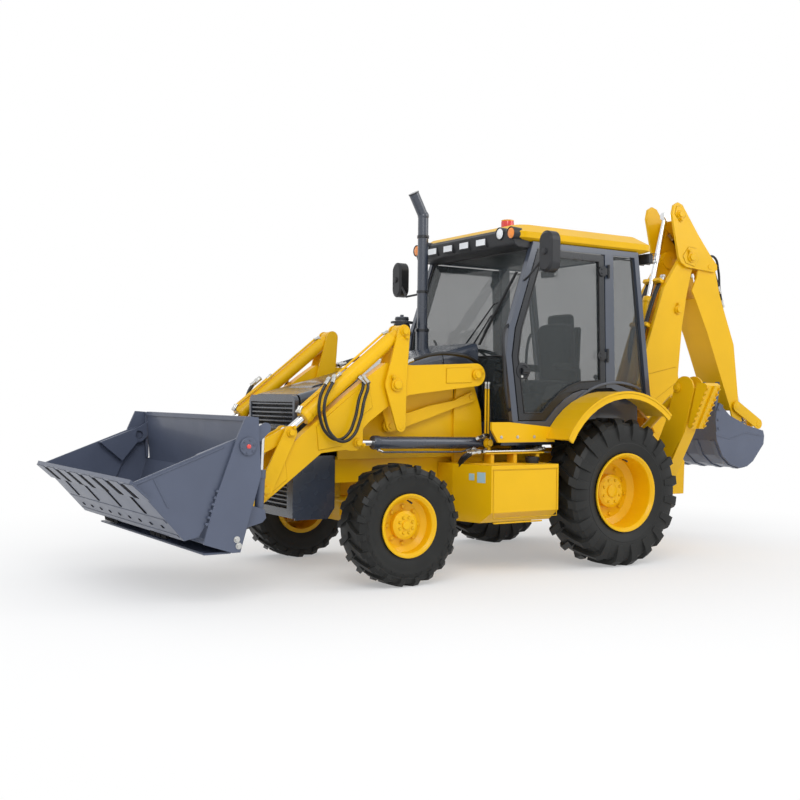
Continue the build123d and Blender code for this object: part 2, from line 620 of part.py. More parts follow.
def side_mirror(y, z):
    """Mirror head on its bent arm beside the front pillar, for the left side."""
    face = Plane(origin=(MIRROR_X - 42, 0, 0), x_dir=(0, 1, 0), z_dir=(1, 0, 0))
    head = extrude(face * hull([(y, z + 88, 82), (y, z - 88, 82)]), amount=84, dir=(1, 0, 0))
    pillar = (905, CAB_HALF + 8, 2440)
    elbow = (960, y - 190, z - 180)
    back = (MIRROR_X + 30, y - 60, z - 60)
    arm = tube(pillar, elbow, 10) + tube(elbow, back, 10) + Pos(*elbow) * Sphere(11)
    return head + arm


def mirrors():
    """Left and right mirror."""
    return [side_mirror(*MIRRORS[0]), mirror(side_mirror(*MIRRORS[1]), about=Plane.XZ)]


DOOR_HANDLE = (905.0, 1674.0)


def pane(points, y_low, y_high):
    """Flat side window."""
    return plate(points, y_low, y_high)


def sloped_pane(top, low, half, thickness=GLASS_T):
    """Window across the cab between two (x, z) lines, leaning as they do."""
    return plate(band([top, low], thickness), -half, half)


def cab_glass():
    """Windscreen, lower front pane, rear quarter windows and rear window."""
    lean = [(990, 1246), (1070, 1800), (1038, 2044), (809, 2715)]
    screen = plate(band(lean, GLASS_T), -CAB_HALF + 65, CAB_HALF - 65)
    quarter = [(-524, 1496), (-152, 1588), (-112, 2718), (-362, 2718)]
    side = pane(quarter, CAB_HALF - 30, CAB_HALF - 24)
    back = sloped_pane((-395, 2722), (-565, 1484), CAB_HALF - 65)
    return [screen, side, mirror(side, about=Plane.XZ), back]


def door():
    """Left door: a ring frame with its window cut, bar handle and hinge plates."""
    y_low = CAB_HALF - DOOR_T
    leaf = plate(DOOR_OUTLINE, y_low, CAB_HALF) - plate(DOOR_WINDOW, y_low - 1, CAB_HALF + 1)
    leaf += disc(DOOR_HANDLE, 72, y_low, CAB_HALF)
    leaf += box(DOOR_HANDLE[0] - 50, DOOR_HANDLE[0] + 25, CAB_HALF - 5, CAB_HALF + 28, 1650, 1700)
    # hinge barrels on straps
    for z in (1831, 2575):
        leaf += box(DOOR_HINGE_X, 60, CAB_HALF + 5, CAB_HALF + 15, z - 30, z + 30)
        leaf += box(20, 60, CAB_HALF - 5, CAB_HALF + 7, z - 30, z + 30)
        leaf += post(DOOR_HINGE_X, CAB_HALF + DOOR_HINGE_OUT, 12, z - 60, z + 60)
    return leaf


def door_glass():
    """Window of the left door, set in its frame."""
    return pane(DOOR_WINDOW, CAB_HALF - 20, CAB_HALF - 14) - disc(DOOR_HANDLE, 72, 700, CAB_HALF)


def seat():
    """Operator's seat on its pedestal."""
    cushion = box(-170, 330, -240, 240, 1480, 1600)
    backrest = plate([(-170, 1560), (-60, 1560), (-130, 2180), (-230, 2180)], -235, 235)
    pedestal = box(-80, 240, -160, 160, CAB_FLOOR + 25, 1480)
    return [cushion + backrest + pedestal]


def controls():
    """Steering column with its wheel, front console, and the digger's lever stand."""
    console = plate([(760, CAB_FLOOR + 25), (960, CAB_FLOOR + 25), (960, 1560), (840, 1640), (760, 1500)],
                    -200, 200)
    column = tube((800, 0, 1500), (640, 0, 1780), 35)
    axis = Plane(origin=(640, 0, 1780), z_dir=(-0.5, 0, 0.87))
    wheel = axis * (Pos(0, 0, 0) * Torus(185, 16)) + axis * Cylinder(45, 30)
    for angle in (0, 120, 240):
        wheel += axis * Rot(0, 0, angle) * Pos(95, 0, 0) * Box(190, 22, 12)
    stand = box(-520, -440, -420, 420, CAB_FLOOR + 25, 1460)
    body = console + column + wheel
    levers = stand
    for y in (-330, -200, 200, 330):
        levers += tube((-460, y, 1450), (-440, y, 1640), 10) + Pos(-438, y, 1655) * Sphere(24)
    return [body, levers]


# ================================================================== loader
def loader_arms():
    """Two box arms joined by a cross tube in front of the nose."""
    outline = [(1296, 1731), (1930, 1700), (2100, 1712), (2180, 1712), (2330, 1610), (2571, 1432),
               (2832, 1222), (2985, 1098), (3265, 812), (3480, 668), (3520, 603), (3470, 530), (3400, 530),
               (3322, 577), (2750, 1010), (2540, 1030), (2500, 1022), (2480, 1022), (2440, 1022),
               (2385, 1060), (2385, 1190), (2330, 1245), (2163, 1363), (1957, 1461), (1296, 1541)]
    arm = plate(outline, ARM_Y - ARM_HALF, ARM_Y + ARM_HALF)
    for place, radius in ((ARM_PIVOT, 95), (BUCKET_PIVOT, 88), (TIP_PIVOT, 66)):
        arm += disc(place, radius, ARM_Y - ARM_HALF, ARM_Y + ARM_HALF)
    slot = [(2360, 1142), (2480, 1142), (2560, 1095), (2560, 1000), (2360, 1000)]
    arm -= plate(slot, ARM_Y - 32, ARM_Y + 32)
    arm -= disc(ARM_PIVOT, 34 + PIN_GAP, ARM_Y - 60, ARM_Y + 60)
    arm -= disc(TIP_PIVOT, 28 + PIN_GAP, ARM_Y - 60, ARM_Y + 60)
    arm -= disc(BUCKET_PIVOT, 30 + PIN_GAP, ARM_Y - 60, ARM_Y + 60)
    # heads of the lift cylinder's pin, outside the gusset
    for y_low in (ARM_Y - ARM_HALF - 8, ARM_Y + ARM_HALF):
        arm += disc(LIFT_EYE, 34, y_low, y_low + 8)
    # hub that the level levers ride on
    arm += disc(LEVER_HUB, 44, ARM_Y - CHEEK_OUT - 10, ARM_Y + CHEEK_OUT + 10)
    cross = tube((3045, -ARM_Y + ARM_HALF - 1, 870), (3045, ARM_Y - ARM_HALF + 1, 870), 50)
    return [both(arm) + cross]


def level_levers():
    """Cheek plates on each arm that carry the tilt cylinder's base and the level link."""
    shape = [(*LEVER_TOP, 54), (*LEVER_HUB, 98), (*LEVER_LOW, 44)]
    cheeks = pair(lambda low, high: lever(shape, low, high), CHEEK_IN, CHEEK_OUT)
    pins = both(disc(LEVER_TOP, 26, ARM_Y - CHEEK_OUT, ARM_Y + CHEEK_OUT))
    hub = both(disc(LEVER_HUB, 44.3, 0, 1000))
    bosses = pair(lambda low, high: disc(LEVER_LOW, 24, low, high), CHEEK_IN - 6, CHEEK_OUT + 2)
    return [cheeks + pins + bosses - hub]


def level_links():
    """Bars from the towers to the level levers, inboard of the arms."""
    waist = point_at(LEVEL_PIVOT, LEVER_LOW, 180)
    broad = point_at(LEVEL_PIVOT, LEVER_LOW, 420)
    stations = [(*LEVEL_PIVOT, 42), (waist[0] - 2, waist[1] - 10, 30), (*broad, 48), (*LEVER_LOW, 54)]
    bar = lever(stations, 478, 502)
    bar -= disc(LEVEL_PIVOT, 22 + PIN_GAP, 475, 505)
    return [bar, mirror(bar, about=Plane.XZ)]


def tipping_levers():
    """Levers on the arms that pass the tilt cylinder's push on to the bucket's links."""
    shape = [(*TIP_PIVOT, 60), (*TIP_PIN, 52)]
    cheeks = pair(lambda low, high: lever(shape, low, high), CHEEK_IN, CHEEK_OUT)
    stubs = pair(lambda low, high: disc(TIP_PIN, 24, low, high), 35, CHEEK_OUT)
    pins = both(disc(TIP_PIVOT, 28, ARM_Y - CHEEK_OUT, ARM_Y + CHEEK_OUT))
    one = cheeks + stubs + pins
    return [one]


def tipping_links():
    """Twin plates from the tipping levers to the bucket's ears, joined in the middle."""
    def make(low, high):
        bar = lever([(*TIP_PIN, 50), (*BUCKET_EAR, 46)], low, high)
        return bar - disc(TIP_PIN, 24 + PIN_GAP, low - 1, high + 1)
    plates = pair(make, 36, 47)
    web_start = point_at(TIP_PIN, BUCKET_EAR, 190)
    web_end = point_at(TIP_PIN, BUCKET_EAR, 250)
    web = lever([(*web_start, 24), (*web_end, 24)], ARM_Y - 40, ARM_Y + 40)
    return [plates + both(web)]


def loader_bucket():
    """Mouldboard: side plates, curved back sheet and cutting edge, with ears for arms and links."""
    side = [(3516, 1293), (3609, 1300), (3675, 1154), (3827, 742), (3884, 545), (3908, 441), (3700, 372),
            (3642, 373), (3565, 641), (3492, 889)]
    body = both(plate(side, BUCKET_HALF_W - SIDE_T, BUCKET_HALF_W))
    back = [(3516, 1293), (3492, 889), (3565, 641), (3642, 380), (3706, 378), (3900, 443)]
    body += plate(band(back, SHEET_T), -BUCKET_HALF_W + 2, BUCKET_HALF_W - 2)
    notch = box(3440, 3560, 1045, BUCKET_HALF_W - SIDE_T, 900, 1310)
    body -= both(notch)
    body += box(3505, 3540, -1040, 1040, 1262, 1296)
    ear = [(*BUCKET_EAR, 48), (*BUCKET_PIVOT, 58)]
    ear_foot = [(3425, 1020), (3505, 1080), (3500, 889), (3572, 641), (3625, 440), (3600, 420), (3440, 550)]
    body += pair(lambda low, high: lever(ear, low, high) + plate(ear_foot, low, high), CHEEK_IN, CHEEK_OUT)
    body += both(disc(BUCKET_PIVOT, 30, ARM_Y - CHEEK_OUT, ARM_Y + CHEEK_OUT))
    # brackets of the clam cylinders
    for low in (CLAM_CYL_Y - 50, CLAM_CYL_Y + 32):
        foot = plate([(3430, 650), (3560, 690), (3600, 520), (3450, 560), (3420, 590)], low, low + 18)
        body += both(foot)
    body += both(disc(CLAM_CYL_BASE, 20, CLAM_CYL_Y - 50, CLAM_CYL_Y + 50))
    body += both(disc(CLAM_PIVOT, 36, 1085, BUCKET_HALF_W + 4))
    return [body]


def clam():
    """Front jaw of the bucket: side plates, floor, lip and the ears of its cylinders."""
    side = [(3560, 1050), (3570, 1150), (3640, 1166), (3687, 1141), (4246, 927), (4413, 862), (4300, 761),
            (4036, 471), (3935, 492), (3800, 700), (3640, 1040)]
    wall = plate(side, CLAM_HALF_W - SIDE_T, CLAM_HALF_W)
    wall += disc(CLAM_PIVOT, 72, CLAM_HALF_W - SIDE_T, CLAM_HALF_W)
    ear = lever([(*CLAM_EAR, 38), (*CLAM_PIVOT, 60)], 1067, CLAM_HALF_W - SIDE_T - 14)
    wall += ear + disc(CLAM_PIVOT, 58, 1067, CLAM_HALF_W - SIDE_T + 2)
    wall -= disc(CLAM_PIVOT, 36 + PIN_GAP, 1050, 1130)
    body = both(wall)
    floor = [(3925, 494), (4036, 471), (4300, 761), (4413, 862)]
    body += plate(band(floor, SHEET_T), -CLAM_HALF_W + 2, CLAM_HALF_W - 2)
    gusset = [(3612, 1040), (3625, 1150), (3700, 1128), (3935, 1040), (3745, 880)]
    body += both(plate(gusset, 1040, CLAM_HALF_W - SIDE_T + 2) - disc(CLAM_PIVOT, 36 + PIN_GAP, 1030, 1130))
    lip = [(4290, 748), (4424, 868), (4414, 892), (4280, 770)]
    body += plate(lip, -BUCKET_HALF_W, BUCKET_HALF_W)
    return [body]


def mirrored_pair(shape):
    """The left piece and its right-hand twin as two solids."""
    return [shape, mirror(shape, about=Plane.XZ)]


# ================================================================== digger
def swing_post():
    """Swing casting between the frame's lugs, with cheeks for the boom's foot."""
    body = post(SWING_X, 0, 80, 495, 735) - post(SWING_X, 0, 35 + PIN_GAP, 400, 800)
    web = floor_plate([(-1400, -195), (-1345, -195), (-1330, -150), (-1330, 150), (-1345, 195), (-1400, 195)],
                      500, 730) - post(SWING_X, 0, 60, 400, 800)
    body += web + box(-1650, -1395, -FORK_OUT, FORK_OUT, 500, 600)
    body -= post(SWING_X, 0, 35 + PIN_GAP, 400, 800)
    # the cheeks are notched where they swing round the upper lug
    cheek = [(-1650, 500), (-1425, 500), (-1425, 730), (-1475, 732), (-1475, 800), (-1300, 802), (-1300, 860),
             (-1480, 900), (-1570, 900), (-1660, 830)]
    body += both(plate(cheek, FORK_IN, FORK_OUT))
    body += both(disc(BOOM_FOOT, 32, 102, FORK_OUT + 8))
    body += box(-1350, -1300, -FORK_OUT, FORK_OUT, 802, 860) + box(-1305, -1240, -95, 95, 802, 860)
    for low in (-95, 70):
        body += plate([(-1350, 830), (-1240, 830), (-1262, 1020), (-1300, 1058), (-1340, 1058),
                       (-1372, 1010)],
                      low, low + 25)
    body += disc(BOOM_CYL_BASE, 28, -95, 95)
    return [body]


def boom():
    """Bent boom: two side plates with a middle web, open in front and behind."""
    outline = [(-1650, 800), (-1615, 1300), (-1590, 1716), (-1640, 2200), (-1705, 2530), (-1807, 2893),
               (-1650, 2950), (-1380, 2570), (-1155, 1970), (-990, 1520), (-985, 1420), (-1040, 1370),
               (-1190, 1250), (-1500, 760)]
    plates = plate(outline, BOOM_IN, BOOM_OUT)
    for place, radius in ((BOOM_FOOT, 82), (DIPPER_PIVOT, 90)):
        plates += disc(place, radius, 102, BOOM_OUT)
        plates -= disc(place, 32 + PIN_GAP, 90, BOOM_OUT + 1)
    plates += disc(DIPPER_CYL_BASE, 60, 58, BOOM_IN + 5)
    plates += disc(BOOM_CYL_EYE, 48, BOOM_OUT - 5, BOOM_OUT + 6)
    body = both(plates)
    body += disc(DIPPER_CYL_BASE, 26, -70, 70)
    web = [(-1160, 1268), (-1185, 1400), (-1275, 1870)]
    body += plate(band(web, 14), -BOOM_IN - 2, BOOM_IN + 2)
    return [body]


def dipper():
    """Dipper: head plates round the boom's tip, and a channel down to the bucket."""
    head = [(-1444, 3303), (-1466, 3398), (-1524, 3432), (-1590, 3412), (-1818, 3135), (-2004, 2935),
            (-2104, 2842), (-2108, 2796), (-2064, 2766), (-1660, 2790), (-1580, 2830), (-1546, 2880)]
    body = both(plate(head, FORK_IN, FORK_OUT))
    channel = [(-1850, 2790), (-1838, 2710), (-1765, 2560), (-1815, 2480), (-2003, 2129), (-2364, 1342),
               (-2440, 1130), (-2560, 1170), (-2480, 1440), (-2398, 2030), (-2176, 2534), (-2100, 2800),
               (-2000, 2890), (-1900, 2880)]
    skin = plate(channel, FORK_IN - 15, FORK_IN + 1)
    for place, radius in ((LEVER_PIVOT, 62), (DIGGER_PIVOT, 60)):
        skin += disc(place, radius, FORK_IN - 15, FORK_IN + 1)
    body += both(skin)
    front = [(-1815, 2480), (-2003, 2129), (-2364, 1342)]
    body += plate(band(front, -14), -FORK_IN, FORK_IN)
    back = [(-1690, 3291), (-1818, 3135), (-1985, 2955)]
    body += plate(band(back, 14), -FORK_IN - 2, FORK_IN + 2)
    body += disc(LEVER_PIVOT, 45, -FORK_IN, FORK_IN) + disc(DIGGER_PIVOT, 45, -FORK_IN, FORK_IN)
    body -= disc(LEVER_PIVOT, 26 + PIN_GAP, -200, 200) + disc(DIGGER_PIVOT, 28 + PIN_GAP, -200, 200)
    body += both(disc(BUCKET_CYL_BASE, 52, 55, FORK_IN + 2)) + disc(BUCKET_CYL_BASE, 26, -60, 60)
    body += both(disc(DIPPER_PIVOT, 32, 104, FORK_OUT + 8))
    body += both(disc(DIPPER_CYL_EYE, 40, FORK_OUT - 2, FORK_OUT + 6))
    return [body]


def digger_levers():
    """Pair of levers beside the dipper's end, moved by the bucket cylinder."""
    cheeks = both(lever([(*LEVER_PIVOT, 56), (*LEVER_END, 54)], 174, 194))
    cheeks += disc(LEVER_PIVOT, 26, -194, 194)
    cheeks += both(disc(LEVER_END, 24, 56, 194))
    return [cheeks]


def digger_link():
    """Twin plates from the levers to the bucket's ear, joined in the middle."""
    bars = both(lever([(*LEVER_END, 46), (*DIGGER_EAR, 44)], 62, 88))
    bars -= both(disc(LEVER_END, 24 + PIN_GAP, 50, 100))
    start = point_at(LEVER_END, DIGGER_EAR, 190)
    end = point_at(LEVER_END, DIGGER_EAR, 225)
    bars += lever([(*start, 22), (*end, 22)], -70, 70)
    return [bars]


def digger_bucket():
    """Digging bucket, curled in: side plates, curved shell, ears, lip and teeth."""
    side = [(-1925, 1421), (-1880, 1330), (-1870, 1238), (-1905, 1040), (-1990, 888), (-2110, 795),
            (-2249, 755), (-2360, 768), (-2452, 820), (-2612, 996), (-2622, 1080), (-2604, 1136),
            (-2360, 1190), (-2100, 1290)]
    body = both(plate(side, DIGGER_HALF_W - 20, DIGGER_HALF_W))
    shell = [(-2400, 1130), (-2475, 1000), (-2490, 870), (-2440, 815), (-2360, 768), (-2249, 755),
             (-2110, 795), (-1990, 888), (-1905, 1040), (-1870, 1238), (-1895, 1450)]
    body += plate(band(shell, 14), -DIGGER_HALF_W + 2, DIGGER_HALF_W - 2)
    ear = [(*DIGGER_PIVOT, 58), (-2540, 1040, 60)]
    low_ear = [(-2540, 1040, 60), (*DIGGER_EAR, 46)]
    foot = [(-2500, 1090), (-2440, 1060), (-2470, 1000), (-2485, 870), (-2450, 825), (-2620, 900)]
    ear_in, ear_out = 198, 218
    body += both(lever(ear, ear_in, ear_out) + lever(low_ear, ear_in, ear_out) + plate(foot, ear_in, ear_out))
    inner = both(lever([(-2500, 985, 40), (*DIGGER_EAR, 46)], 100, 118))
    body += inner + both(disc(DIGGER_EAR, 24, 92, 148))
    body += disc(DIGGER_PIVOT, 28, -ear_out, ear_out)
    for y in (-360, -180, 0, 180, 360):
        tooth = [(-1907, 1380), (-1878, 1380), (-1885, 1480), (-1938, 1632), (-1925, 1500)]
        body += plate(tooth, y - 28, y + 28)
    return [body]


# ================================================================== stabilisers
def stabiliser():
    """Left stabiliser leg: channel of two plates and an outer web, with its pad."""
    stations = [(*STAB_PIVOT, 84), (860, 1190, 118), (975, 1550, 112)]
    leg = hull(stations)
    shape = None
    for x_low in (STAB_BACK_X, STAB_FRONT_X - 16):
        face = Plane(origin=(x_low, 0, 0), x_dir=(0, 1, 0), z_dir=(1, 0, 0)) * leg
        cheek = extrude(face, amount=16, dir=(1, 0, 0))
        shape = cheek if shape is None else shape + cheek
    web = band([(640, 560), (975, 1160), (1085, 1560)], -14)
    shape += cross_plate(web, STAB_BACK_X + 2, STAB_FRONT_X - 2)
    for x_low in (STAB_BACK_X - 1, STAB_FRONT_X - 17):
        shape -= disc_x(STAB_PIVOT, 36 + PIN_GAP, x_low, x_low + 18)
    shape += disc_x(STAB_CYL_EYE, 36, STAB_FRONT_X - 2, STAB_FRONT_X + 6)
    pad = [(1025, 1200), (1060, 1185), (1250, 1575), (1215, 1600), (1130, 1600)]
    shape += cross_plate(pad, STAB_BACK_X - 32, STAB_FRONT_X)
    shape += cross_plate([(950, 1300), (1000, 1500), (1170, 1480), (1110, 1330)], -890, -850)
    return shape


def stab_ram(part):
    """Left stabiliser cylinder, barrel or rod, lying across the machine."""
    x = (STAB_FRONT_X + STAB_BACK_X) / 2
    base = STAB_CYL_BASE
    eye = STAB_CYL_EYE
    if part == "rod":
        foot = point_at(base, eye, 120)
        rod = tube((x, *foot), (x, *eye), STAB_ROD_R)
        return rod + disc_x(eye, 40, x - 26, x + 26)
    floor = point_at(base, eye, 90)
    mouth = point_at(base, eye, STAB_BARREL_L)
    barrel = disc_x(base, 42, x - 30, x + 30)
    barrel += tube((x, *point_at(base, eye, 30)), (x, *floor), STAB_BORE_R * 0.8)
    barrel -= disc_x(base, 25 + PIN_GAP, x - 31, x + 31)
    return barrel + tube((x, *floor), (x, *mouth), STAB_BORE_R, STAB_ROD_R + 1.5)


# ================================================================== rams of the loader and digger
# (name, base, eye, y, outer, rod radius, barrel length, eye radius, half eye, pin radius, rod start,
#  both sides)
RAMS = [
    ("lift", LIFT_BASE, LIFT_EYE, ARM_Y, LIFT_BORE_R, LIFT_ROD_R, LIFT_BARREL_L, 46, 30, 30, 130, True),
    ("tilt", LEVER_TOP, TIP_PIN, ARM_Y, TILT_BORE_R, TILT_ROD_R, TILT_BARREL_L, 50, 44, 26, 150, True),
    ("clam", CLAM_CYL_BASE, CLAM_EAR, CLAM_CYL_Y, CLAM_BORE_R, CLAM_ROD_R, CLAM_BARREL_L, 32, 26, 20, 300,
     True),
    ("boom", BOOM_CYL_BASE, BOOM_CYL_EYE, 0, BOOM_BORE_R, BOOM_ROD_R, BOOM_BARREL_L, 56, 60, 28, 140, False),
    ("dipper", DIPPER_CYL_BASE, DIPPER_CYL_EYE, 0, DIPPER_BORE_R, DIPPER_ROD_R, DIPPER_BARREL_L, 52, 50, 26,
     900, False),
    ("bucket", BUCKET_CYL_BASE, LEVER_END, 0, DIG_BORE_R, DIG_ROD_R, DIG_BARREL_L, 48, 46, 26, 760, False),
]


def rams():
    """Barrel and rod of every loader and digger cylinder, by node name."""
    made = {}
    for name, base, eye, y, outer, rod_r, length, eye_r, eye_half, pin_r, start, twin in RAMS:
        barrel = ram_barrel(base, eye, y, outer, rod_r + 1.5, length, eye_r, eye_half, pin_r)
        rod = ram_rod(base, eye, y, rod_r, start, eye_r * 0.9, min(eye_half, 28))
        if twin:
            made[name + "_barrels"] = mirrored_pair(barrel)
            made[name + "_rods"] = mirrored_pair(rod)
        else:
            made[name + "_barrel"] = [barrel]
            made[name + "_rod"] = [rod]
    return made


# ================================================================== all nodes
NODES = {
    "main_frame": main_frame(), "rear_frame": rear_frame(), "mirrors": mirrors(), "engine": engine(),
    "nose_panels": nose_panels(), "axles": axles(),
    "side_tanks": side_tanks(), "fenders": fenders(), "cab_frame": cab_frame(), "cab_roof": cab_roof(),
    "cab_glass": cab_glass(), "seat": seat(), "controls": controls(), "hood": hood(),
    "loader_arms": loader_arms(), "level_levers": level_levers(), "level_links": level_links(),
    "tipping_levers": tipping_levers(), "tipping_links": tipping_links(), "loader_bucket": loader_bucket(),
    "clam": clam(), "swing_post": swing_post(), "boom": boom(), "dipper": dipper(),
    "digger_levers": digger_levers(), "digger_link": digger_link(), "digger_bucket": digger_bucket(),
    "steering_rod": [steering_rod()],
}
NODES.update(rams())

# left-hand pieces and their right-hand twins (node name without its side, shape)
SIDED = [("door", door()), ("door_glass", door_glass()), ("knuckle", knuckle()), ("rim_front", FRONT_RIM),
         ("rim_rear", REAR_RIM), ("tyre_front", FRONT_TYRE), ("tyre_rear", REAR_TYRE),
         ("stabiliser", stabiliser()), ("stabiliser_barrel", stab_ram("barrel")),
         ("stabiliser_rod", stab_ram("rod"))]
for sided_name, sided_shape in SIDED:
    NODES[sided_name + "_left"] = [sided_shape]
    NODES[sided_name + "_right"] = [mirror(sided_shape, about=Plane.XZ)]

os.makedirs("parts", exist_ok=True)
for node, solids in NODES.items():
    placed = []
    for piece in solids:
        placed += [Pos(REAR_AXLE_X, 0, 0) * solid for solid in piece.solids()]
    shape = placed[0] if len(placed) == 1 else Compound(children=placed)
    export_step(shape, f"parts/{node}.step")
    print(node, len(placed), "solids")
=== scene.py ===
import json
import math

import bmesh
import bpy
from mathutils import Matrix, Vector


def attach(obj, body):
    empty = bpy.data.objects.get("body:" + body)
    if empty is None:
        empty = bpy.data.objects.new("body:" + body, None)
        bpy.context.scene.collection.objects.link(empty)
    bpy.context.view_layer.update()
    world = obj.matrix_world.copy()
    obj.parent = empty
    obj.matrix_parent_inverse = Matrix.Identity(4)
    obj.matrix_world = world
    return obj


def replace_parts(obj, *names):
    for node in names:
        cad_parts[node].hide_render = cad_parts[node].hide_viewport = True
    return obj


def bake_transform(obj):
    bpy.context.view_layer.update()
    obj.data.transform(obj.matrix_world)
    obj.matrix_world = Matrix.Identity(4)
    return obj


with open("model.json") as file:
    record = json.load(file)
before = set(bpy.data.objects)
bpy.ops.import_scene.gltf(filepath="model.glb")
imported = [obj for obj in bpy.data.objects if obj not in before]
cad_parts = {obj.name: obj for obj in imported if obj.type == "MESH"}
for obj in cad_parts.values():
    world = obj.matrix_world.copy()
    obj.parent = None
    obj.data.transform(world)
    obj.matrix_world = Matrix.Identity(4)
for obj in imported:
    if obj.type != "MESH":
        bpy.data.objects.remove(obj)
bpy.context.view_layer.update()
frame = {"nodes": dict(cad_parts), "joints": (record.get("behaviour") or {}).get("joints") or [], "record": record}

# Backhoe loader, +X forward, +Y to the machine's left, +Z up.
# Places and sizes on the machine are in millimetres, with X from the rear axle and Z from the
# ground, as in the CAD.  at() moves a place into the frame, which is in metres.

MM = 1000                                   # millimetres in a metre
JOINTS = {joint["name"]: joint for joint in frame["joints"]}
REAR_AXLE = JOINTS["wheel_rear_left_spin"]["pos_m"][0]
WHEELBASE = (JOINTS["wheel_front_left_spin"]["pos_m"][0] - REAR_AXLE) * MM
SIDES = (("left", 1), ("right", -1))
AHEAD, LEFT, UP = (1, 0, 0), (0, 1, 0), (0, 0, 1)


def at(x, y, z):
    """Place in the frame, in metres."""
    return Vector((x / MM + REAR_AXLE, y / MM, z / MM))


# ------------------------------------------------------------------ materials
LOW, HIGH = 0.3, 0.7                        # share of a noise's range that a ramp spreads out
ORANGE_PEEL = (160, 0.012, 0.002)           # scale, strength and depth of its bump


def put(tree, node, **sockets):
    """Sets a node's sockets, or links outputs to them; underscores stand for spaces."""
    for name, value in sockets.items():
        socket = node.inputs[name.replace("_", " ")]
        if isinstance(value, bpy.types.NodeSocket):
            tree.links.new(value, socket)
        else:
            socket.default_value = value
    return node


def add(tree, kind, **sockets):
    return put(tree, tree.nodes.new("ShaderNode" + kind), **sockets)


def new_material(name):
    material = bpy.data.materials.new(name)
    material.use_nodes = True
    return material, material.node_tree, material.node_tree.nodes["Principled BSDF"]


def surface(tree):
    """Place on the surface, in object space."""
    return add(tree, "TexCoord").outputs["Object"]


def noise(tree, scale, detail, rough=0.5):
    node = add(tree, "TexNoise", Vector=surface(tree), Scale=scale, Detail=detail, Roughness=rough)
    return node.outputs["Fac"]


def bands(tree, axis, scale):
    """Soft stripes across an axis."""
    wave = add(tree, "TexWave", Vector=surface(tree), Scale=scale)
    wave.bands_direction = axis
    return wave.outputs["Fac"]


def calculate(tree, operation, first, second):
    node = add(tree, "Math")
    node.operation = operation
    tree.links.new(first, node.inputs[0])
    tree.links.new(second, node.inputs[1])
    return node.outputs["Value"]


def ramp(tree, value, low, high, first, last):
    """Value mapped from low..high to a range of numbers or of colours."""
    if isinstance(first, float):
        node = add(tree, "MapRange", Value=value, From_Min=low, From_Max=high, To_Min=first, To_Max=last)
        return node.outputs["Result"]
    node = add(tree, "ValToRGB", Fac=value)
    for stop, place, colour in zip(node.color_ramp.elements, (low, high), (first, last)):
        stop.position = place
        stop.color = (*colour, 1)
    return node.outputs["Color"]


def shade(colour, times, plus=0.0):
    return tuple(min(1.0, part * times + plus) for part in colour)


def bump(tree, shader, height, strength, distance, edge=0.0):
    """Bump from a height, on corners softened by a small radius."""
    node = add(tree, "Bump", Height=height, Strength=strength, Distance=distance)
    if edge:
        soft = add(tree, "Bevel", Radius=edge)
        soft.samples = 4
        put(tree, node, Normal=soft.outputs["Normal"])
    put(tree, shader, Normal=node.outputs["Normal"])


def paint(name, colour, roughness, coat, shine=0.4, patch=0.05, edge=0.006):
    """Sprayed enamel: slight orange peel, faint shade changes, softened edges."""
    material, tree, shader = new_material(name)
    tone = ramp(tree, noise(tree, 2.3, 4), LOW, HIGH, shade(colour, 1 - patch), shade(colour, 1 + patch / 2))
    gloss = ramp(tree, noise(tree, 6, 2), LOW, HIGH, roughness - 0.03, roughness + 0.04)
    scale, strength, depth = ORANGE_PEEL
    bump(tree, shader, noise(tree, scale, 1), strength, depth, edge)
    put(tree, shader, Base_Color=tone, Roughness=gloss, Specular_IOR_Level=shine, Coat_Weight=coat,
        Coat_Roughness=0.1)
    return material


def rubber(name, colour, roughness, scale, depth, shine):
    """Moulded rubber or plastic: fine grain and faintly dusty patches."""
    material, tree, shader = new_material(name)
    cloud = noise(tree, 7, 5)
    bump(tree, shader, noise(tree, scale, 3), depth, 0.001, 0.003)
    put(tree, shader, Base_Color=ramp(tree, cloud, 0.42, 0.75, colour, shade(colour, 1.5, 0.002)),
        Roughness=ramp(tree, cloud, LOW, HIGH, roughness - 0.08, roughness + 0.08), Specular_IOR_Level=shine)
    return material


def metal(name, colour, roughness):
    """Bare or plated metal with fine marks."""
    material, tree, shader = new_material(name)
    marks = noise(tree, 90, 4, 0.6)
    bump(tree, shader, marks, 0.05, 0.001, 0.002)
    put(tree, shader, Base_Color=ramp(tree, marks, LOW, HIGH, shade(colour, 0.86), colour), Metallic=1.0,
        Roughness=ramp(tree, marks, LOW, HIGH, roughness * 0.7, roughness * 1.4))
    return material


def glass(name, colour, alpha):
    """Tinted safety glass with the faintest change of shade."""
    material, tree, shader = new_material(name)
    tone = ramp(tree, noise(tree, 1.5, 2), 0.35, 0.7, colour, shade(colour, 1.15, 0.01))
    put(tree, shader, Base_Color=tone, Roughness=0.02, Alpha=alpha, IOR=1.5, Specular_IOR_Level=0.7)
    return material


def cloth(name, colour):
    """Woven seat cloth with a soft sheen: two crossing rows of threads."""
    material, tree, shader = new_material(name)
    height = calculate(tree, "MULTIPLY", bands(tree, "X", 420), bands(tree, "Y", 420))
    bump(tree, shader, height, 0.4, 0.001)
    put(tree, shader, Base_Color=ramp(tree, height, 0.1, 0.9, colour, shade(colour, 1.8)), Roughness=0.9,
        Sheen_Weight=0.2)
    return material


def lamp_glass(name, colour):
    """Moulded lens with ribs."""
    material, tree, shader = new_material(name)
    ribs = bands(tree, "Y", 22)
    bump(tree, shader, ribs, 0.35, 0.002)
    tone = ramp(tree, ribs, 0.2, 0.8, colour, shade(colour, 1.15, 0.02))
    put(tree, shader, Base_Color=tone, Roughness=0.12, Coat_Weight=0.5)
    return material


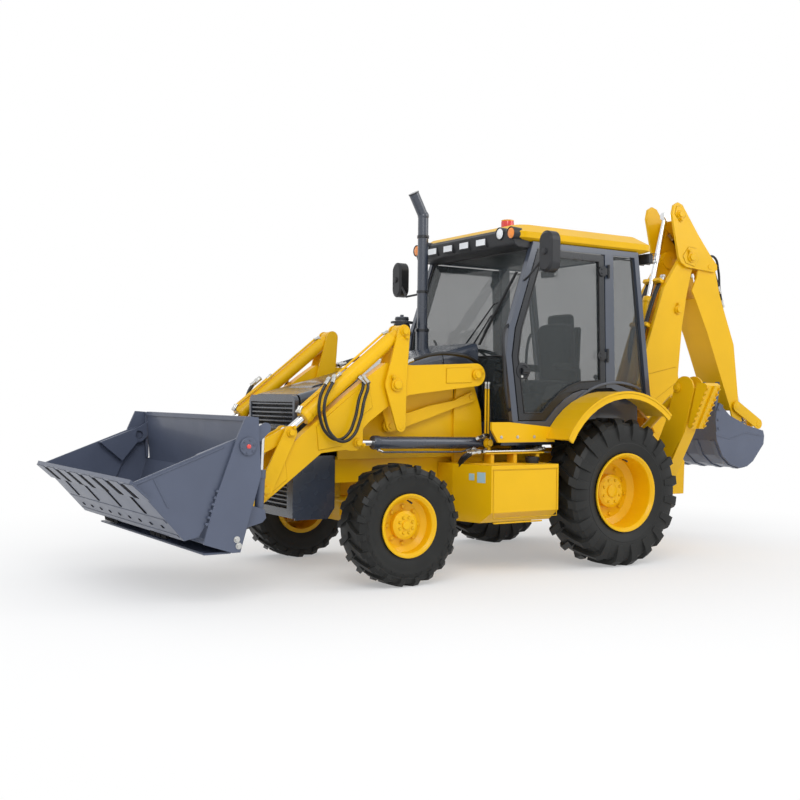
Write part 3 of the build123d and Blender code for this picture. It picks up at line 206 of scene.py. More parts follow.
MAT = {
    "yellow_paint": paint("yellow_enamel", (0.86, 0.49, 0.002), 0.36, 0.12, shine=0.25),
    "dark_grey_paint": paint("hood_enamel", (0.04, 0.05, 0.072), 0.26, 0.45, shine=0.6),
    "bucket_paint": paint("bucket_enamel", (0.094, 0.112, 0.165), 0.4, 0.15, patch=0.1),
    "cab_grey_paint": paint("cab_enamel", (0.05, 0.062, 0.09), 0.22, 0.5, shine=0.6),
    "black_paint": paint("black_enamel", (0.013, 0.015, 0.019), 0.26, 0.3),
    "chrome_rod": metal("chrome_rod", (0.78, 0.79, 0.8), 0.1),
    "tyre_rubber": rubber("tyre_rubber", (0.0085, 0.009, 0.0085), 0.5, 160, 0.1, 0.35),
    "tinted_glass": glass("tinted_glass", (0.045, 0.055, 0.058), 0.36),
    "seat_cloth": cloth("seat_cloth", (0.01, 0.01, 0.012)),
    "black_plastic": rubber("black_plastic", (0.016, 0.017, 0.02), 0.45, 300, 0.08, 0.4),
    "hose_rubber": rubber("hose_rubber", (0.007, 0.007, 0.008), 0.35, 500, 0.06, 0.5),
    "steel": metal("zinc_steel", (0.62, 0.62, 0.6), 0.3),
    "lamp_white": lamp_glass("lamp_white", (0.8, 0.82, 0.84)),
    "lamp_amber": lamp_glass("lamp_amber", (0.9, 0.25, 0.01)),
    "lamp_red": lamp_glass("lamp_red", (0.65, 0.03, 0.02)),
    "sticker": paint("sticker_film", (0.42, 0.62, 0.7), 0.3, 0.2, edge=0.001),
    # painted shade: a dark matt finish for thin sheets that stand in for the shade in slots, openings and the
    # stack's mouth
    "painted_shade": rubber("painted_shade", (0.004, 0.004, 0.005), 0.8, 200, 0.05, 0.1),
}

for part in frame["record"]["subparts"]:
    node = frame["nodes"][part["node"]]
    finish = MAT[part["material_slot"]]
    if not node.material_slots:
        node.data.materials.append(finish)
    for material_slot in node.material_slots:
        material_slot.material = finish


# ------------------------------------------------------------------ pieces
def link_piece(name, data, finish, body):
    """Links a piece that rides on a body; a body given as two, (first, second, start, end), is not used and the
    piece stays where it is.
    """
    data.materials.append(MAT[finish])
    piece = bpy.data.objects.new(name, data)
    bpy.context.scene.collection.objects.link(piece)
    if isinstance(body, str):
        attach(piece, body)
    else:
        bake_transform(piece)
    return piece


def add_piece(mesh, name, finish, body, twin=False, crease=35):
    """Links a built mesh as one piece; twin adds its mirror image across the machine."""
    if twin:
        copy = bmesh.ops.duplicate(mesh, geom=mesh.verts[:] + mesh.edges[:] + mesh.faces[:])["geom"]
        for corner in copy:
            if isinstance(corner, bmesh.types.BMVert):
                corner.co.y = -corner.co.y
        bmesh.ops.reverse_faces(mesh, faces=[face for face in copy if isinstance(face, bmesh.types.BMFace)])
    for face in mesh.faces:
        face.smooth = True
    for edge in mesh.edges:
        edge.smooth = len(edge.link_faces) == 2 and edge.calc_face_angle(0.0) < math.radians(crease)
    data = bpy.data.meshes.new(name)
    mesh.to_mesh(data)
    mesh.free()
    return link_piece(name, data, finish, body)


def build(name, finish, body, *shapes, twin=False, crease=35):
    """Builds one piece from shapes, each a function below with its values."""
    mesh = bmesh.new()
    for make, *values in shapes:
        make(mesh, *values)
    return add_piece(mesh, name, finish, body, twin, crease)


def skin(mesh, rows, caps=True, ring=False):
    """Faces between rows of corners round a form, with caps on its ends or its ends joined."""
    pairs = list(zip(rows, rows[1:])) + ([(rows[-1], rows[0])] if ring else [])
    faces = [mesh.faces.new((a[i - 1], a[i], b[i], b[i - 1])) for a, b in pairs for i in range(len(a))]
    if caps:
        faces += [mesh.faces.new(rows[0]), mesh.faces.new(rows[-1])]
    bmesh.ops.recalc_face_normals(mesh, faces=faces)
    return faces


def prism(mesh, outline, low, high, bevel=0, across="y"):
    """Plate with an outline of (x, z) places; across "x" takes (y, z) and across "z" takes (x, y)."""
    place = {"y": lambda a, b, d: at(a, d, b), "x": lambda a, b, d: at(d, a, b),
             "z": lambda a, b, d: at(a, b, d)}[across]
    faces = skin(mesh, [[mesh.verts.new(place(a, b, end)) for a, b in outline] for end in (low, high)])
    if bevel:
        edges = {edge for face in faces for edge in face.edges}
        bmesh.ops.bevel(mesh, geom=list(edges), offset=bevel / MM, segments=2, affect="EDGES",
                        clamp_overlap=True)


def block(mesh, x_low, x_high, y_low, y_high, z_low, z_high, bevel=4):
    """Block between three pairs of faces, with softened edges."""
    prism(mesh, [(x_low, z_low), (x_high, z_low), (x_high, z_high), (x_low, z_high)], y_low, y_high, bevel)


def rod(mesh, start, end, radius, sides=20, far=None):
    """Round bar between two places; far is its radius at the end."""
    start, end = at(*start), at(*end)
    turn = (end - start).to_track_quat("Z", "Y").to_matrix().to_4x4()
    bmesh.ops.create_cone(mesh, cap_ends=True, segments=sides, radius1=radius / MM,
                          radius2=(radius if far is None else far) / MM, depth=(end - start).length,
                          matrix=Matrix.Translation((start + end) / 2) @ turn)


def spokes(axis, count, turn=0.0):
    """Directions square to an axis, evenly round it."""
    side = axis.orthogonal().normalized()
    other = axis.cross(side)
    angles = [math.tau * (index + turn) / count for index in range(count)]
    return [side * math.cos(angle) + other * math.sin(angle) for angle in angles]


def turned(mesh, centre, axis, profile, steps=32, closed=False):
    """Surface turned about an axis through a place, from (distance along the axis, radius) points."""
    axis = Vector(axis).normalized()
    round_axis = spokes(axis, steps)
    rows = []
    for along, radius in profile:
        middle = at(*centre) + axis * (along / MM)
        rows.append([mesh.verts.new(middle + spoke * max(radius / MM, 1e-4)) for spoke in round_axis])
    skin(mesh, rows, caps=not closed, ring=closed)


def band(mesh, place, radius, half, thick):
    """Ring round an upright tube."""
    outer = radius + thick
    turned(mesh, place, UP, [(-half, radius), (-half, outer), (half, outer), (half, radius)], 36)


def bolt(mesh, place, axis, size):
    """Hexagon bolt head on its washer; size is the head's radius."""
    axis = Vector(axis).normalized()
    place = Vector(place)
    rod(mesh, place, place + axis * size * 0.18, size * 1.35)
    rod(mesh, place + axis * size * 0.17, place + axis * size * 0.85, size, 6, size * 0.94)


def bolt_ring(mesh, centre, axis, radius, count, size, turn=0.0):
    """Bolts on a circle round a place."""
    for spoke in spokes(Vector(axis).normalized(), count, turn):
        bolt(mesh, Vector(centre) + spoke * radius, axis, size)


def set_down(place, way, corners):
    """Corners (along, aside) set down at a place; way is a complex number that turns and scales them."""
    moved = [complex(*place) + complex(*corner) * way for corner in corners]
    return [(corner.real, corner.imag) for corner in moved]


def pin_end(mesh, place, y, radius, turn):
    """End of a pivot pin: a rounded cap on a flat collar, with a keeper strap and its bolt."""
    turned(mesh, (place[0], y, place[1]), LEFT,
           [(0, radius * 1.45), (8, radius * 1.45), (11, radius * 1.38), (11, radius), (26, radius),
            (31, radius * 0.85)], 28)
    turn = math.radians(turn)
    way = radius * complex(math.cos(turn), math.sin(turn))
    prism(mesh, set_down(place, way, ((0.55, -0.5), (2.3, -0.4), (2.3, 0.4), (0.55, 0.5))), y, y + 12, 2)
    x, z = set_down(place, way, ((1.95, 0),))[0]
    bolt(mesh, (x, y + 12, z), LEFT, 12)


def pin_collar(mesh, place, y):
    """Flat collar of a pin that has little room beside it."""
    turned(mesh, (place[0], y, place[1]), LEFT, [(-2, 34), (1.5, 34), (2.5, 31), (2.5, 0)], 28)


def pins(body, *ends, name=None, shape=pin_end):
    """Pin ends on both sides of a body."""
    build(f"pins_{name or body}", "yellow_paint", body, *((shape, *end) for end in ends), twin=True)


# ------------------------------------------------------------------ lines of places
def row(count, pitch):
    """Places in a row, evenly on both sides of nought."""
    return [pitch * (index - (count - 1) / 2) for index in range(count)]


def between(first, second, share):
    return tuple(a + (b - a) * share for a, b in zip(first, second))


def tooth_line(start, end, first, last, pitch, count):
    """Starts and ends of the teeth along a line, whose first and last are shares of it."""
    return [[between(start, end, share + index * pitch) for share in (first, last)] for index in range(count)]


def moved(route, *by):
    return [tuple(a + b for a, b in zip(place, by)) for place in route]


def strip(line, depth):
    """Outline of a strip that hangs below a line."""
    return line + [(x, z - depth) for x, z in line[::-1]]


def arc(centre, radius, start, end, count):
    """Places on an arc, in degrees from the first axis."""
    angles = [math.radians(start + (end - start) * index / count) for index in range(count + 1)]
    return [(centre[0] + radius * math.cos(angle), centre[1] + radius * math.sin(angle)) for angle in angles]


def capsule(y, z, half, radius, count):
    """Upright outline with round ends."""
    return arc((y, z + half), radius, 0, 180, count) + arc((y, z - half), radius, 180, 360, count)


def away_from(middle, outline, distance):
    """Outline moved away from a place."""
    return [between(middle, place, 1 + distance / math.dist(place, middle)) for place in outline]


def both_sides(*routes):
    """Routes with their mirror images across the machine."""
    return list(routes) + [[(x, -y, z) for x, y, z in route] for route in routes]


def ram_pipe(base, eye, y, shares, near, far, way):
    """Route of a pipe beside a ram; its ends are near to the ram's line and the rest is far from it."""
    route = []
    for share, off in zip(shares, (near, far, far, far, near)):
        x, z = between(base, eye, share)
        route.append((x + off * way[0], y, z + off * way[1]))
    return route


def curve_mesh(curve):
    """Mesh of a curve, for a hose given two bodies."""
    holder = bpy.data.objects.new("holder", curve)
    bpy.context.scene.collection.objects.link(holder)
    bpy.context.view_layer.update()
    mesh = bpy.data.meshes.new_from_object(holder.evaluated_get(bpy.context.evaluated_depsgraph_get()))
    bpy.data.objects.remove(holder)
    return mesh


def hoses(name, body, routes, radius, finish="hose_rubber", ends=True, closed=False, straight=False):
    """Hoses, pipes or seals along routes of places, with a crimped fitting at each end."""
    data = bpy.data.curves.new(name, "CURVE")
    data.dimensions = "3D"
    data.bevel_depth = radius / MM
    data.bevel_resolution = 3
    data.resolution_u = 8
    data.use_fill_caps = not closed
    for route in routes:
        spline = data.splines.new("BEZIER")
        spline.bezier_points.add(len(route) - 1)
        spline.use_cyclic_u = closed
        for point, place in zip(spline.bezier_points, route):
            point.co = at(*place)
            point.handle_left_type = point.handle_right_type = "VECTOR" if closed or straight else "AUTO"
    link_piece(name, data if isinstance(body, str) else curve_mesh(data), finish, body)
    if not ends:
        return
    mesh = bmesh.new()
    for route in routes:
        for first, second in ((route[0], route[1]), (route[-1], route[-2])):
            first = Vector(first)
            way = (Vector(second) - first).normalized() * radius
            for start, end, wide, sides in ((0, 2.2, 1.7, 6), (2.0, 5.5, 1.3, 16), (5.5, 6.3, 1.42, 16)):
                rod(mesh, first + way * start, first + way * end, radius * wide, sides)
    add_piece(mesh, name + "_fittings", "steel", body)


# ------------------------------------------------------------------ wheels
# stations of a lug: (share of the half width, radius, lean outward, height, half width, turn in
# degrees); carcass: (share of the half width, radius)
REAR_LUG = [(-0.05, 600, 0, 40, 34, -2), (0.4, 600, 0, 40, 32, 3), (0.76, 597, 0.1, 42, 36, 7),
            (0.9, 572, 0.7, 36, 40, 9), (0.955, 525, 1, 22, 38, 9), (0.965, 455, 1, 8, 30, 9)]
REAR_CARCASS = [(0, 604), (0.5, 604), (0.8, 598), (0.93, 570), (0.975, 520), (0.985, 465), (0.955, 430),
                (0.965, 425), (0.95, 415), (0.9, 370), (0.84, 345), (0.84, 318)]
FRONT_LUG = [(-0.05, 441, 0, 24, 26, -2), (0.45, 441, 0, 24, 25, 4), (0.84, 439, 0.1, 25, 27, 8),
             (0.95, 418, 0.8, 18, 26, 9), (0.975, 398, 1, 6, 20, 9)]
FRONT_CARCASS = [(0, 445), (0.5, 445), (0.86, 440), (0.95, 415), (0.975, 400), (0.965, 396), (0.985, 385),
                 (0.985, 362), (0.96, 350), (0.955, 330), (0.9, 275), (0.84, 248), (0.84, 224)]
LUG_COUNT = 20
LUG_FOOT = 12                               # depth of a lug's foot inside the tyre
FRONT_MIDDLE, FRONT_RADIUS, FRONT_HALF = 885, 465, 165
# x, middle, radius and half width
WHEELS = {"rear": (0, 875, 640, 215), "front": (WHEELBASE, FRONT_MIDDLE, FRONT_RADIUS, FRONT_HALF)}
TREADS = {"rear": (REAR_LUG, REAR_CARCASS), "front": (FRONT_LUG, FRONT_CARCASS)}
# rim's radius, face and circle of the hub's bolts, and face, circle and count of the disc's bolts
HUBS = {"rear": (315, 898, 98, 830, 205, 10), "front": (222, 984, 62, 926, 140, 8)}


def lug(mesh, centre, half, across, stations, start, side):
    """One tread lug, from the middle of the tread over the shoulder; across is +1 or -1."""
    rows = []
    for share, radius, lean, height, wide, turn in stations:
        corners = []
        for aside, up in ((-1.18, -LUG_FOOT), (-0.86, height), (0.86, height), (1.18, -LUG_FOOT)):
            angle = start + math.radians(turn) + aside * wide / radius
            rise = radius + up * (1 - lean ** 2) ** 0.5
            corners.append(mesh.verts.new(at(centre[0] + rise * math.sin(angle),
                                             centre[1] + side * across * (share * half + up * lean),
                                             centre[2] + rise * math.cos(angle))))
        rows.append(corners)
    skin(mesh, rows)


def tyre(side_name, side, end):
    """Tyre with the lugs of its tread."""
    x, middle, radius, half = WHEELS[end]
    lugs, carcass = TREADS[end]
    centre = (x, side * middle, radius)
    outer = [(share * half, r) for share, r in carcass]
    profile = [(-along, r) for along, r in outer[:0:-1]] + outer
    tread = [(lug, centre, half, across, lugs, math.tau * (index + offset) / LUG_COUNT, side)
             for across, offset in ((1, 0), (-1, 0.5)) for index in range(LUG_COUNT)]
    name = f"tyre_{end}_{side_name}"
    piece = build(name + "_tread", "tyre_rubber", f"wheel_{end}_{side_name}",
                  (turned, centre, (0, side, 0), profile, 96, True), *tread, crease=28)
    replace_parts(piece, name)


def hub(side_name, side, end):
    """Bolts of a wheel's hub and disc, and its valve."""
    x, middle, radius, half = WHEELS[end]
    rim, hub_y, hub_r, disc_y, disc_r, count = HUBS[end]
    body = f"wheel_{end}_{side_name}"
    axis = (0, side, 0)
    build(f"wheel_bolts_{end}_{side_name}", "yellow_paint", body,
          (bolt_ring, (x, side * hub_y, radius), axis, hub_r, 8, 10, 0.5),
          (turned, (x, side * (hub_y - 2), radius), axis,
           [(0, hub_r * 0.55), (12, hub_r * 0.55), (16, hub_r * 0.48), (16, 0)], 28),
          (bolt_ring, (x, side * disc_y, radius), axis, disc_r, count, 16))
    y = middle + half * 0.7
    edge = radius + rim
    build(f"valve_{end}_{side_name}", "black_plastic", body,
          (rod, (x, side * y, edge - 30), (x, side * (y + 45), edge - 42), 6),
          (rod, (x, side * (y + 35), edge - 39), (x, side * (y + 58), edge - 46), 8))


def front_sidewall(side_name, side):
    """Zigzag bars of the front tyre's sidewall ring."""
    bars, half_bar, swing = 40, 0.018, 0.055        # a bar's half width and swing are angles
    inner, outer = 364, 384
    face = side * (FRONT_MIDDLE + FRONT_HALF * 0.985)
    shapes = []
    for index in range(bars):
        near = math.tau * index / bars
        far = near + (swing if index % 2 else -swing)
        corners = [(WHEELBASE + r * math.sin(angle), FRONT_RADIUS + r * math.cos(angle)) for r, angle in
                   ((inner, near - half_bar), (inner, near + half_bar), (outer, far + half_bar),
                    (outer, far - half_bar))]
        shapes.append((prism, corners, face - side * 4, face + side * 3))
    build(f"sidewall_bars_{side_name}", "tyre_rubber", f"wheel_front_{side_name}", *shapes)


for side_name, side in SIDES:
    for end in WHEELS:
        tyre(side_name, side, end)
    front_sidewall(side_name, side)
    for end in WHEELS:
        hub(side_name, side, end)


# ------------------------------------------------------------------ loader
ARM_PIVOT = (1296, 1636)
LEVER_HUB = (2105, 1540)
LEVER_TOP = (2032, 1966)
LIFT_BASE = (1170, 1065)
LIFT_EYE = (2433, 1084)
TIP_PIVOT = (3235, 747)
TIP_PIN = (3030, 1167)
BUCKET_PIVOT = (3440, 603)
BUCKET_EAR = (3430, 975)
CLAM_PIVOT = (3595, 1095)
ARM_OUT = 635
CHEEK_FACE = 670
# digger
SWING_X = -1380
BOOM_FOOT = (-1570, 800)
BOOM_CYL_BASE = (-1320, 1000)
BOOM_CYL_EYE = (-1570, 2354)
DIPPER_PIVOT = (-1717, 2893)
DIPPER_CYL_BASE = (-1060, 1450)
DIPPER_CYL_EYE = (-1545, 3312)
BUCKET_CYL_BASE = (-1998, 2816)
LEVER_PIVOT = (-2437, 1382)
LEVER_END = (-2770, 1200)
DIGGER_PIVOT = (-2500, 1170)
DIGGER_EAR = (-2620, 925)
# heads of the rams' barrels: body, base, eye, y, barrel's length, radius, finish, on both sides
GLANDS = (("lift_barrels", LIFT_BASE, LIFT_EYE, 590, 1100, 50, "dark_grey_paint", True),
          ("tilt_barrels", LEVER_TOP, TIP_PIN, 590, 1100, 58, "yellow_paint", True),
          ("boom_barrel", BOOM_CYL_BASE, BOOM_CYL_EYE, 0, 1200, 60, "yellow_paint", False),
          ("dipper_barrel", DIPPER_CYL_BASE, DIPPER_CYL_EYE, 0, 1060, 52, "yellow_paint", False),
          ("bucket_barrel", BUCKET_CYL_BASE, LEVER_END, 0, 1090, 48, "yellow_paint", False))

pins("loader_arms", (ARM_PIVOT, 647, 30, 150), (LEVER_HUB, 680, 36, 60), (LIFT_EYE, 643, 26, 200))
pins("tipping_levers", (TIP_PIN, CHEEK_FACE, 24, 120), (TIP_PIVOT, CHEEK_FACE, 28, 300))
pins("loader_bucket", (BUCKET_EAR, CHEEK_FACE, 24, 200), (BUCKET_PIVOT, CHEEK_FACE, 30, 100))
pins("chassis", (LIFT_BASE, 650, 28, 270))
pins("loader_arms", (LEVER_TOP, CHEEK_FACE, 26, 250), name="level_levers")

# doubler plates on the outer faces of the arms
build("arm_plates", "yellow_paint", "loader_arms", *(
    (prism, outline, ARM_OUT - 1, ARM_OUT + 7, 3) for outline in (
        [(2340, 1560), (2560, 1405), (2800, 1215), (2780, 1030), (2580, 1060), (2460, 1250), (2300, 1360)],
        [(3060, 990), (3260, 790), (3400, 700), (3370, 600), (3200, 700), (3040, 820)],
        [(1340, 1700), (1600, 1685), (1600, 1560), (1340, 1570)])), twin=True)


def loader_hoses():
    """Hoses and pipes of the loader's rams."""
    loop = [(2400, 655, 1600), (2385, 700, 1560), (2430, 720, 1400), (2470, 730, 1255), (2530, 730, 1140),
            (2616, 730, 1100), (2705, 730, 1141), (2765, 720, 1260), (2765, 710, 1410), (2700, 700, 1540),
            (2655, 660, 1600)]
    inner = [(2430, 640, 1600)] + moved(loop[1:-1], 20, -45, 12) + [(2690, 640, 1580)]
    hoses("hoses_arm_loop", "tilt_barrels", both_sides(loop, inner), 12.5)
    pipe = ram_pipe(LEVER_TOP, TIP_PIN, 575, (0.06, 0.1, 0.5, 0.84, 0.87), 58, 74, (0.62, 0.78))
    hoses("pipes_tilt_cylinders", "tilt_barrels", both_sides(pipe, moved(pipe[2:], 0, 35, 0)), 9,
          "yellow_paint", straight=True)
    # over the arm's root and down behind the tower, curving over the arm's pivot
    root = [(1960, 575, 1722), (1860, 580, 1755), (1680, 590, 1800), (1460, 590, 1805), (1280, 570, 1770),
            (1150, 530, 1680), (1070, 512, 1480), (1045, 508, 1250), (1060, 505, 1080)]
    hoses("hoses_arm_root", ("chassis", "loader_arms", (1130, 0, 1600), (1520, 0, 1780)),
          both_sides(root, moved(root, -15, -34, -5)), 12)
    under = ram_pipe(LIFT_BASE, LIFT_EYE, 605, (0.12, 0.2, 0.6, 0.8, 0.84), -52, -75, (0, 1))
    hoses("pipes_lift_cylinders", "lift_barrels", both_sides(under), 8, "dark_grey_paint", straight=True)
    hoses("hoses_lift_cylinders", "lift_barrels", both_sides(
        [(1290, 640, 1100), (1240, 690, 1135), (1190, 670, 1130), (1165, 635, 1095), (1160, 600, 1065)],
        [(1330, 640, 1020), (1280, 690, 990), (1220, 680, 985), (1180, 650, 1000), (1170, 610, 1015)]), 12)


loader_hoses()

for body, base, eye, y, length, radius, finish, twin in GLANDS:
    x, z = between(base, eye, length / math.dist(base, eye))
    build(f"gland_{body}", finish, body,
          (turned, (x, y, z), (eye[0] - base[0], 0, eye[1] - base[1]),
           [(-50, radius), (-50, radius * 1.13), (-8, radius * 1.13), (0, radius * 1.05), (4, radius),
            (4, radius * 0.62)], 36), twin=twin)


# ------------------------------------------------------------------ loader bucket
FIRST_PLATE = 180                           # length of the clam's lip plate from its tip
LIP_PLATE = (4424, 868), (4290, 748)
FLOOR_PLATE = (4306, 767), (4036, 471)


def under_clam(distance, drop):
    """Place on the clam's underside at a distance back from the tip of its lip, dropped square to it."""
    start, end = map(Vector, LIP_PLATE if distance < FIRST_PLATE else FLOOR_PLATE)
    along = (end - start).normalized()
    back = distance if distance < FIRST_PLATE else distance - 172
    return tuple(start + along * back + Vector((along.y, -along.x)) * drop)


def under_bar(mesh, near, far, drop, y, half, bevel=2):
    """Flat bar on the clam's underside between two distances from the lip."""
    outline = [under_clam(near, -4), under_clam(near, drop), under_clam(far, drop), under_clam(far, -4)]
    prism(mesh, outline, y - half, y + half, bevel)


def bucket_trim():
    """Bolts, the clam's pivot bosses, side teeth, wear strip and stiffening ribs of the mouldboard."""
    x, z = CLAM_PIVOT
    build("bucket_bolts", "steel", "loader_bucket",
          (bolt, (3669, 1140, 462), LEFT, 17), (bolt, (3655, 1140, 418), LEFT, 17), twin=True)
    build("clam_pivot_plates", "bucket_paint", "loader_bucket",
          (turned, (x, 1140, z), LEFT, [(0, 62), (12, 62), (16, 57), (16, 0)], 36),
          (bolt_ring, (x, 1155, z), LEFT, 44, 6, 8), twin=True)
    build("clam_pivot_caps", "lamp_red", "loader_bucket",
          (turned, (x, 1154, z), LEFT, [(0, 16), (8, 15), (11, 10), (11, 0)], 24), twin=True)
    build("mouldboard_teeth", "bucket_paint", "loader_bucket", *(
        (prism, [(x0 - 20, z0), (x0 + 22, z0 + 14), (x1 + 22, z1 + 6), (x1 - 20, z1)], 1124, 1139, 2)
        for (x0, z0), (x1, z1) in tooth_line((3884, 545), (3675, 1154), 0.02, 0.06, 0.072, 6)), twin=True)
    build("mouldboard_wear_strip", "bucket_paint", "loader_bucket",
          (block, 3700, 3900, -1120, 1120, 366, 380),
          *((rod, (3800, y, 358), (3800, y, 368), 20, 8) for y in row(9, 260)))
    rib = [(3500, 1270), (3470, 1200), (3466, 950), (3490, 880), (3552, 650), (3563, 650), (3495, 890),
           (3512, 1270)]
    build("mouldboard_ribs", "bucket_paint", "loader_bucket",
          *((prism, rib, y - 12, y + 12, 3) for y in (-950, -300, 300, 950)))


def clam_trim():
    """Painted shade: dark strips for the slots under the clam's floor and dark steps near its back edge. Also the
    floor's cross bars, the rim of its sides and the ears' flaps.
    """
    rows = ((7, 310, 30, 172, 36), (4, 520, 190, 355, 18), (9, 225, 455, 480, 14))
    # painted shade: thin dark strips laid on the clam's underside stand in for the shade in its slots
    slots = [(under_bar, near, far, 1.5, y, half, 0) for count, pitch, near, far, half in rows
             for y in row(count, pitch)]
    # painted shade: dark steps near the back edge of the floor
    step = [(4040, 476), (3990, 484), (4005, 448), (4035, 446)]
    steps = [(prism, step, middle + y - 45, middle + y + 45) for middle in (-420, 620) for y in row(3, 110)]
    build("clam_slot_shade", "painted_shade", "clam", *slots, *steps)
    build("clam_floor_bars", "bucket_paint", "clam",
          *((under_bar, 10, 174, 8, y, 100) for y in row(8, 310)),
          (under_bar, 375, 410, 14, 0, 1085), (under_bar, 520, 545, 8, 0, 1085))
    build("clam_side_strips", "bucket_paint", "clam",
          (prism, strip([(3760, 1101), (4246, 915), (4395, 858)], 18), 1106, 1118.5, 3),
          (prism, [(4145, 690), (4160, 700), (4262, 900), (4245, 905)], 1113, 1116.5, 1), twin=True)
    flap = [(3500, 905), (3520, 905), (3532, 1100), (3532, 1290), (3512, 1290), (3500, 1100)]
    build("clam_ear_flaps", "bucket_paint", "clam", (prism, flap, 1086, 1118.5, 3), twin=True)


bucket_trim()
clam_trim()


# ------------------------------------------------------------------ nose, hood and engine bay
HOOD_HALF = 415
LOUVRES = [2150 + 60 * index for index in range(9)]
NOSE_OPENINGS = ((378, 1217, 1393), (298, 562, 748))    # half width, low and high
SCREEN_STEP = 14
STACK = (1220, -300)
STACK_MOUTH = (1326, -300, 3283)
STACK_WAY = (11, 0, 20)                     # way in which the stack's mouth looks
CLEANER = (1420, -330)


def hood_top(x, rise):
    return (x, 1453 + (2830 - x) * 0.27 + rise)


def nose_trim():
    """Mesh screens in the openings of the nose with painted shade behind them, and its bars."""
    screens = []
    for half, low, high in NOSE_OPENINGS:
        for index in range(int(2 * half / SCREEN_STEP)):
            y = -half + (index + 0.5) * SCREEN_STEP
            screens.append((block, 2846, 2850, y - 1.5, y + 1.5, low, high, 0))
        for index in range(int((high - low) / SCREEN_STEP)):
            z = low + (index + 0.5) * SCREEN_STEP
            screens.append((block, 2845.5, 2848.5, -half, half, z - 1.5, z + 1.5, 0))
    build("nose_screens", "black_plastic", "chassis", *screens)
    # painted shade: dark plates behind the screens stand in for the shade inside the openings
    build("nose_opening_shade", "painted_shade", "chassis",
          *((block, 2840.5, 2843.5, -half, half, low, high, 1) for half, low, high in NOSE_OPENINGS))
    build("nose_ribs", "dark_grey_paint", "chassis",
          *((block, 2868, 2877, -360, 360, z, z + 12, 3) for z in (820, 905, 990, 1075)),
          (block, 2868, 2880, -390, 390, 1175, 1195))


def hood_trim():
    """Louvres in the hood's sides with painted shade in the slots behind them, catches and the raised panel on
    top.
    """
    # painted shade: dark plates in the slots behind the louvres
    build("hood_louvre_shade", "painted_shade", "hood",
          *((block, x, x + 30, HOOD_HALF - 1, HOOD_HALF + 1.2, 1200, 1340, 0) for x in LOUVRES), twin=True)
    build("hood_louvres", "dark_grey_paint", "hood",
          *((block, x - 6, x + 22, HOOD_HALF + 0.5, HOOD_HALF + 7, 1198, 1342, 3) for x in LOUVRES),
          twin=True)
    catches = []
    for x in (1560, 2700):
        catches += [(block, x - 30, x + 30, HOOD_HALF - 1, HOOD_HALF + 12, 1225, 1265, 5),
                    (block, x - 18, x + 18, HOOD_HALF + 10, HOOD_HALF + 18, 1200, 1250)]
    build("hood_catches", "black_plastic", "hood", *catches, twin=True)
    scoop = [hood_top(2200, -2), hood_top(2620, -2), hood_top(2590, 10), hood_top(2230, 10)]
    build("hood_scoop", "dark_grey_paint", "hood", (prism, scoop, -200, 200, 4))


def stack_trim():
    """Clamp rings and lip of the exhaust stack with painted shade in its mouth, and bands and slats of the
    pre-cleaner.
    """
    clamps = []
    for z, radius in ((1620, 60), (2050, 60), (2400, 50), (2900, 50)):
        clamps += [(band, (*STACK, z), radius, 12, 5),
                   (bolt, (STACK[0], STACK[1] + radius + 4, z), LEFT, 8)]
    build("stack_clamps", "black_paint", "chassis", *clamps,
          (turned, STACK_MOUTH, STACK_WAY, [(-4, 47), (-4, 50), (8, 50), (8, 41), (-50, 41)], 36))
    # painted shade: a dark disc inside the lip stands in for the shaded inside of the pipe
    build("stack_mouth_shade", "painted_shade", "chassis",
          (turned, STACK_MOUTH, STACK_WAY, [(4, 40.5), (7.5, 40.5), (7.8, 0)], 28))
    rings = ((1700, 51), (1950, 51), (2030, 71), (2090, 71), (2115, 98), (2145, 61))
    build("cleaner_bands", "black_plastic", "chassis",
          *((band, (*CLEANER, z), radius, 6, 3) for z, radius in rings),
          *((rod, (*place, 2035), (*place, 2085), 4, 8) for place in arc(CLEANER, 73, 0, 337.5, 15)))


nose_trim()
hood_trim()
stack_trim()


# ------------------------------------------------------------------ chassis sides, tank and fenders
TANK_FACE = 1000


def bay_lines():
    """Pipe rack above the tank, pipes behind the tower and the hoses into the frame."""
    build("pipe_rack", "yellow_paint", "chassis", (block, 700, 1320, 690, 815, 980, 992, 3),
          *((block, x - 20, x + 20, 705, 800, 898, 985) for x in (760, 1000, 1240)), twin=True)
    hoses("pipes_rack", "chassis", both_sides(*(
        [(1340, y, 1003), (1100, y, 1003), (820, y, 1003), (740, y - 10, 1006), (660, y - 30, 1020)]
        for y in (705, 735, 765, 795))), 9, "steel")
    hoses("pipes_tower", "chassis", both_sides(*(
        [(x, 530, 1060), (x, 532, 1250), (x, 530, 1580)] for x in (1085, 1115))), 9, "yellow_paint")
    hoses("hoses_rack", "chassis", both_sides(*(
        [(1360, 720 + 35 * i, 1003), (1420, 715 + 30 * i, 990), (1470, 690, 950 - 20 * i),
         (1460, 620, 880 - 20 * i), (1430, 540, 860), (1410, 480, 880)] for i in range(3))), 13)


